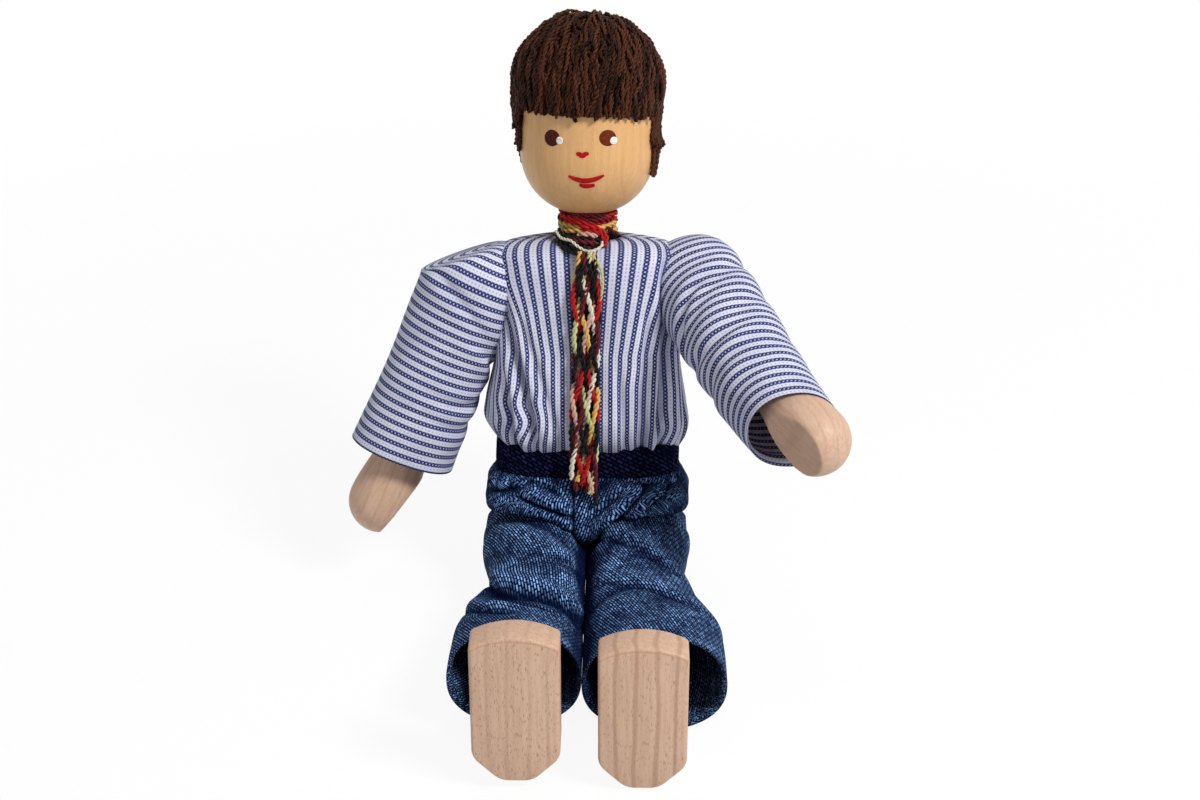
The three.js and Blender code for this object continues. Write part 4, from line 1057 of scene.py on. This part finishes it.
def trouser_points(side, rows, cols):
    angle = around(cols)
    rings = [(TROUSER_LENGTH - turned_up, shrink, 0.0) for turned_up, shrink in HEM]
    rings += [(s, 0.0, 1.0) for s in np.linspace(TROUSER_LENGTH, 0, rows)]
    points, rises = [], []
    for s, shrink, shown in rings:
        px, py = power_circle(angle, LEG_SQUARE + 0.2 * float(smooth(s, 26, 40)))
        outside = stations(TROUSER_OUT[side], s) - shrink
        ahead = stations(TROUSER_FRONT[side], s) - shrink
        behind = TROUSER_BACK - shrink
        lateral, top = px * side, np.clip(-py, 0, 1)
        x = side * (outside + shrink) / 2 + (outside - shrink) / 2 * px
        x = x + side * stations(CROTCH_GAP, s) * np.clip(-lateral, 0, 1) ** 3 * smooth(top, 0.05, 0.6)
        y = (behind - ahead) / 2 + (ahead + behind) / 2 * py
        fold = leg_folds(side, s, lateral, top, angle) * shown * smooth(s, -1, 4)
        fold = fold * (0.15 + 0.85 * np.clip(1 - py, 0, 1))
        fold = fold * (1 - 0.8 * bump(lateral, -1, 0.12) * (top < 0.3))
        y = np.minimum(y + fold * np.sin(angle), BACK_LIMIT)
        points.append(np.stack([x + fold * np.cos(angle), y, np.full_like(x, -s)], -1))
        # Painted shade and light: the rise follows the folds, and is lower along the inner side of each leg,
        # between the legs, less so further down.
        rises.append(1.3 * fold - 1.3 * smooth(-lateral, 0.80, 0.98) * (1 - 0.5 * smooth(s, 14, 40)))
    x = TROUSER_OUT[side][0][1] / 2 * (side + px)
    for a in np.linspace(0.06, 0.985, 16) * math.pi / 2:
        points.append(np.stack([x, KNUCKLE * math.cos(a) * py, np.full_like(x, KNUCKLE * math.sin(a))], -1))
        # Painted shade on the rounded top of the leg, under the seat.
        rises.append(np.full_like(x, -0.4))
    return np.array(points), np.array(rises)


for side, name in SIDE_NAME.items():
    points, rises = trouser_points(side, rows=130, cols=240)
    panel = (leg_to_row(points, side), arc_uv(points), rises)
    trouser = cloth("trouser_cloth_" + name, [panel], DENIM, DENIM_THICK)
    dress(trouser, "leg_" + name, "denim", "trouser_leg_" + name)


# Feet: sawn blocks with eased edges.
EASE_STEPS, EASE_ANGLE, SHARP_ANGLE = 3, math.radians(24), math.radians(35)


def heel_curve():
    """One half of the heel's plan, from its middle to its side, with the chamfer's two corners rounded."""
    flat = np.array([FOOT_HALF - HEEL_CHAMFER, HEEL_BACK])
    slope = np.array([FOOT_HALF, HEEL_BACK - HEEL_CHAMFER])
    down = (slope - flat) / np.linalg.norm(slope - flat)
    points = []
    for corner, before, after in ((flat, (-1, 0), down), (slope, -down, (0, -1))):
        start, end = corner + np.multiply(before, HEEL_ROUND), corner + np.multiply(after, HEEL_ROUND)
        for t in np.linspace(0, 1, 6):
            points.append(tuple((1 - t) ** 2 * start + 2 * t * (1 - t) * corner + t * t * end))
    return points


SOLE_BEECH = {LEFT: sole_beech("sole_beech_lined", ring_amount=0.42, fleck_amount=0.60),
              RIGHT: sole_beech("sole_beech_flecked", ring_amount=0.16, fleck_amount=0.75)}
TOE = HEEL_BACK - FOOT_LENGTH
plan = [(-x, y) for x, y in heel_curve()]
plan += [(FOOT_HALF * t, TOE + TOE_BULGE * t * t) for t in np.linspace(-1, 1, 29)]
plan += heel_curve()[::-1]
count = len(plan)
foot_faces = [tuple(range(count))[::-1], tuple(range(count, 2 * count))]
foot_faces += [(i, (i + 1) % count, count + (i + 1) % count, count + i) for i in range(count)]
for side, name in SIDE_NAME.items():
    block = [(side * LEG_X + x, y, z) for z in (-SOLE_AT, FOOT_THICK - SOLE_AT) for x, y in plan]
    foot = build("foot_wood_" + name, block, foot_faces, SOLE_BEECH[side])
    ease = foot.modifiers.new("eased edges", "BEVEL")
    ease.width = FOOT_EASE * MM
    ease.segments = EASE_STEPS
    ease.limit_method = "ANGLE"
    ease.angle_limit = EASE_ANGLE
    foot = plain_mesh(foot)
    mesh = foot.data
    spots = np.empty(len(mesh.vertices) * 3)
    mesh.vertices.foreach_get("co", spots)
    local = spots.reshape(-1, 3) / MM
    grain = np.stack([local[:, 0] - LEG_X * side, local[:, 2], local[:, 1] - TOE], -1)
    attribute = mesh.attributes.new("grain", "FLOAT_VECTOR", "POINT")
    attribute.data.foreach_set("vector", grain.ravel())
    mesh.vertices.foreach_set("co", (leg_to_row(local, side) * MM).ravel())
    mesh.set_sharp_from_angle(angle=SHARP_ANGLE)
    mesh.update()
    dress(foot, "leg_" + name, "beech", "foot_" + name)

# The sticks and dowels inside keep their own meshes.
for name in ("torso_block", "neck_dowel", "hip_axle", "leg_left", "leg_right", "ankle_dowel_left",
             "ankle_dowel_right", "shoulder_peg_left", "shoulder_peg_right"):
    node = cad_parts[name]
    node.data.materials.clear()
    node.data.materials.append(STICK)


# Tie: coloured yarns plaited flat, looped and knotted round the neck.
TIE_COLOURS = {"red": (0.46, 0.012, 0.014), "maroon": (0.115, 0.010, 0.016), "black": (0.006, 0.005, 0.006),
               "gold": (0.72, 0.42, 0.11), "lime": (0.55, 0.56, 0.25), "cream": (0.74, 0.68, 0.56),
               "salmon": (0.62, 0.37, 0.28)}
TIE_YARN = {}
for name, colour in TIE_COLOURS.items():
    TIE_YARN[name] = yarn("tie_" + name, colour, shade=0.6, strand_spread=0.25, sheen=0.2, gloss=0.12)
TIE_YARN_DIAMETER, TIE_YARN_PITCH, THREAD_DIAMETER, THREAD_PITCH = 0.86, 2.3, 0.5, 1.5
BRAID = ("black", "red", "salmon", "black", "maroon", "lime",
         "black", "red", "gold", "black", "cream", "maroon")
BRAID_PERIOD, BRAID_HALF, BRAID_DEEP, TAIL_TOP = 39.0, 2.35, 0.55, 49.6
TAIL_SHORTEST, TAIL_SLANT, TAIL_RUN, PATH_STEP = 36.3, 3.4, 42, 0.4
LOOP = (("maroon", 54.5), ("red", 54.0), ("maroon", 53.5), ("red", 53.1), ("gold", 52.6), ("lime", 52.1),
        ("gold", 51.7), ("black", 51.2), ("black", 50.8))
LOOP_RADIUS, LOOP_TURN = 4.15, (-0.6 * math.pi, 1.42 * math.pi)


def tail_front(z):
    near = [stations(SHIRT_FRONT, np.clip(z + shift, 20.5, SHIRT_HIGH)) for shift in (-1, 0, 1.5)]
    return np.max(near, axis=0)


def braid_tail():
    """Yarns that zigzag from edge to edge of the flat tail, over and under each other."""
    run = np.arange(0, TAIL_RUN, PATH_STEP)
    for k, colour in enumerate(BRAID):
        share = run / BRAID_PERIOD + k / len(BRAID) + 0.02 * np.sin(0.5 * run + k)
        zigzag = np.arcsin(0.97 * np.sin(2 * math.pi * share)) / (math.pi / 2)
        out = BRAID_DEEP * np.sin(2 * math.pi * (3 * share + 0.41 * k))
        width = BRAID_HALF * (0.62 + 0.38 * smooth(run, 0, 7)) * (1 + 0.05 * np.sin(0.3 * run))
        across = zigzag * width - 0.45 * smooth(run, 8, 40)
        z = TAIL_TOP - run
        last = TAIL_SHORTEST + TAIL_SLANT * (zigzag[-6] + 1) / 2 + rng.normal(0, 0.5)
        yield colour, np.stack([across, -(tail_front(z) + 1.0 + out), z], -1)[run <= last]


tie_paths = {name: [] for name in TIE_COLOURS}
for colour, path in braid_tail():
    tie_paths[colour].append(path)
for k, (colour, height) in enumerate(LOOP):
    angle = np.linspace(*LOOP_TURN, 90)
    radius = LOOP_RADIUS + 0.28 * np.sin(3 * angle + 2.4 * k)
    z = height + 0.22 * np.sin(2 * angle + 1.9 * k)
    tie_paths[colour].append(np.stack([radius * np.cos(angle), radius * np.sin(angle), z], -1))

# The knot: black and maroon wraps, the red one that turns down on the left, and loose threads.
KNOT = {
    "black": [
        [(-4.6, -2.6, 51.7), (-3.9, -4.9, 51.5), (-2.2, -6.4, 51.4), (0.2, -7.1, 51.2),
         (1.9, -6.6, 50.9), (2.6, -5.4, 50.6)],
        [(-4.7, -2.9, 51.0), (-3.8, -5.3, 50.8), (-2.0, -6.9, 50.7), (0.4, -7.5, 50.6),
         (2.0, -6.9, 50.3), (2.8, -5.6, 50.2)],
        [(-4.8, -4.2, 50.4), (-3.6, -6.2, 50.0), (-2.0, -7.4, 49.8), (-0.2, -8.0, 49.7), (1.2, -8.2, 49.2)],
        [(-4.4, -5.2, 50.0), (-3.0, -7.1, 49.5), (-1.4, -8.2, 49.2), (0.2, -8.7, 48.6), (1.0, -9.0, 47.4)],
        [(-1.8, -7.6, 50.3), (-1.0, -8.5, 49.3), (-0.5, -9.1, 48.2), (-0.1, -9.5, 46.6)]],
    "maroon": [
        [(-3.2, -5.6, 51.3), (-1.6, -7.1, 51.0), (0.2, -7.8, 50.9), (1.7, -7.3, 50.5)],
        [(3.2, -4.0, 52.4), (4.0, -3.2, 51.6), (4.6, -1.8, 51.0)]],
    "red": [
        [(-1.2, -5.4, 52.7), (0.4, -6.0, 53.0), (2.0, -5.8, 52.5), (2.9, -5.6, 51.4),
         (2.9, -6.0, 50.4), (2.2, -6.8, 49.9)],
        [(-0.6, -5.8, 52.2), (0.9, -6.3, 52.3), (2.1, -6.2, 51.8), (2.6, -6.3, 50.8)]],
    "salmon": [[(-1.4, -6.2, 51.8), (-0.2, -6.9, 52.0), (1.0, -6.9, 51.8), (1.7, -6.7, 51.3)]]}
LOOSE = {
    "cream": [(-4.9, -3.6, 51.9), (-4.0, -5.9, 51.2), (-2.3, -7.6, 51.0), (-1.3, -8.3, 50.3),
              (0.2, -8.8, 49.7), (1.4, -8.7, 49.9), (2.4, -8.0, 50.6), (2.2, -7.7, 51.4)],
    "lime": [(0.2, -8.9, 49.5), (1.4, -9.2, 48.6), (2.1, -9.6, 47.4), (2.5, -10.1, 45.8),
             (2.4, -10.4, 43.8), (2.1, -10.4, 42.0)]}
TIE_NODES = ("tie_tail", "tie_knot", "tie_neck_loop")


def smooth_path(path):
    """A path of evenly spaced points through a few given ones."""
    path = np.asarray(path, float)
    run = np.concatenate([[0], np.cumsum(np.linalg.norm(np.diff(path, axis=0), axis=1))])
    s = np.arange(0, run[-1], PATH_STEP)
    return np.stack([stations(list(zip(run, path[:, k])), s) for k in range(3)], -1)


for colour, paths in tie_paths.items():
    paths += [smooth_path(path) for path in KNOT.get(colour, [])]
    piece = yarn_mesh("tie_yarn_" + colour, paths, TIE_YARN[colour], TIE_YARN_DIAMETER, TIE_YARN_PITCH,
                      step=0.25, sides=6)
    dress(piece, "torso", "tie_braid", *(TIE_NODES if colour == "red" else ()))
for colour, path in LOOSE.items():
    piece = yarn_mesh("tie_thread_" + colour, [smooth_path(path)], TIE_YARN[colour], THREAD_DIAMETER,
                      THREAD_PITCH, step=0.2, sides=6)
    dress(piece, "torso", "tie_braid")


# Floor, light and background.
FLOOR_HALF, FLOOR_Z, FADE_FROM, FADE_TO, FLOOR_CLEAR = 2500.0, -0.02, 90.0, 300.0, 0.92
LIGHT_AIM = Vector((0, 0, 0.05))


def floor_white():
    """Pale floor that keeps the shadow: nearly clear to the camera, and clear to what hangs below it."""
    mat, n, shader = material("floor_white")
    place = n.object_mm()
    n.put(shader, "Base Color", n.mix(n.noise(place, 0.02, 2.0), (0.86, 0.86, 0.86), (0.90, 0.90, 0.90)))
    n.put(shader, "Roughness", 0.95)
    x, y, _ = n.split(place)
    clear = n.times(n.seen(), n.steps(n.length(x, y), FADE_FROM, FADE_TO, FLOOR_CLEAR, 1.0))
    blend = n.new("ShaderNodeMixShader")
    n.put(blend, 0, n.larger(clear, n.new("ShaderNodeNewGeometry").outputs["Backfacing"]))
    n.put(blend, 1, shader.outputs[0])
    n.put(blend, 2, n.new("ShaderNodeBsdfTransparent").outputs[0])
    n.put(mat.node_tree.nodes["Material Output"], "Surface", blend.outputs[0])
    return mat


corners = [(x * FLOOR_HALF, y * FLOOR_HALF, FLOOR_Z) for x, y in ((-1, -1), (1, -1), (1, 1), (-1, 1))]
floor = build("floor", corners, [(0, 1, 2, 3)], floor_white())


def area_light(name, place, size, power):
    """A square lamp aimed at the doll, in metres and watts."""
    data = bpy.data.lights.new(name, "AREA")
    data.energy = power
    data.size = size
    light = add_object(name, data)
    light.location = place
    light.rotation_euler = (LIGHT_AIM - Vector(place)).to_track_quat("-Z", "Y").to_euler()


area_light("key", (0.36, -0.26, 0.50), size=0.15, power=4.1)
area_light("fill", (-0.45, -0.40, 0.30), size=0.35, power=0.6)
area_light("top", (-0.05, 0.12, 0.55), size=0.3, power=0.5)
world = bpy.data.worlds.new("studio")
world.use_nodes = True
bpy.context.scene.world = world
n = Nodes(world.node_tree)
n.put(world.node_tree.nodes["Background"], "Color", n.mix(n.seen(), (0.18, 0.183, 0.19), (1.0, 1.0, 1.0)))
bpy.context.scene.view_settings.view_transform = "Standard"
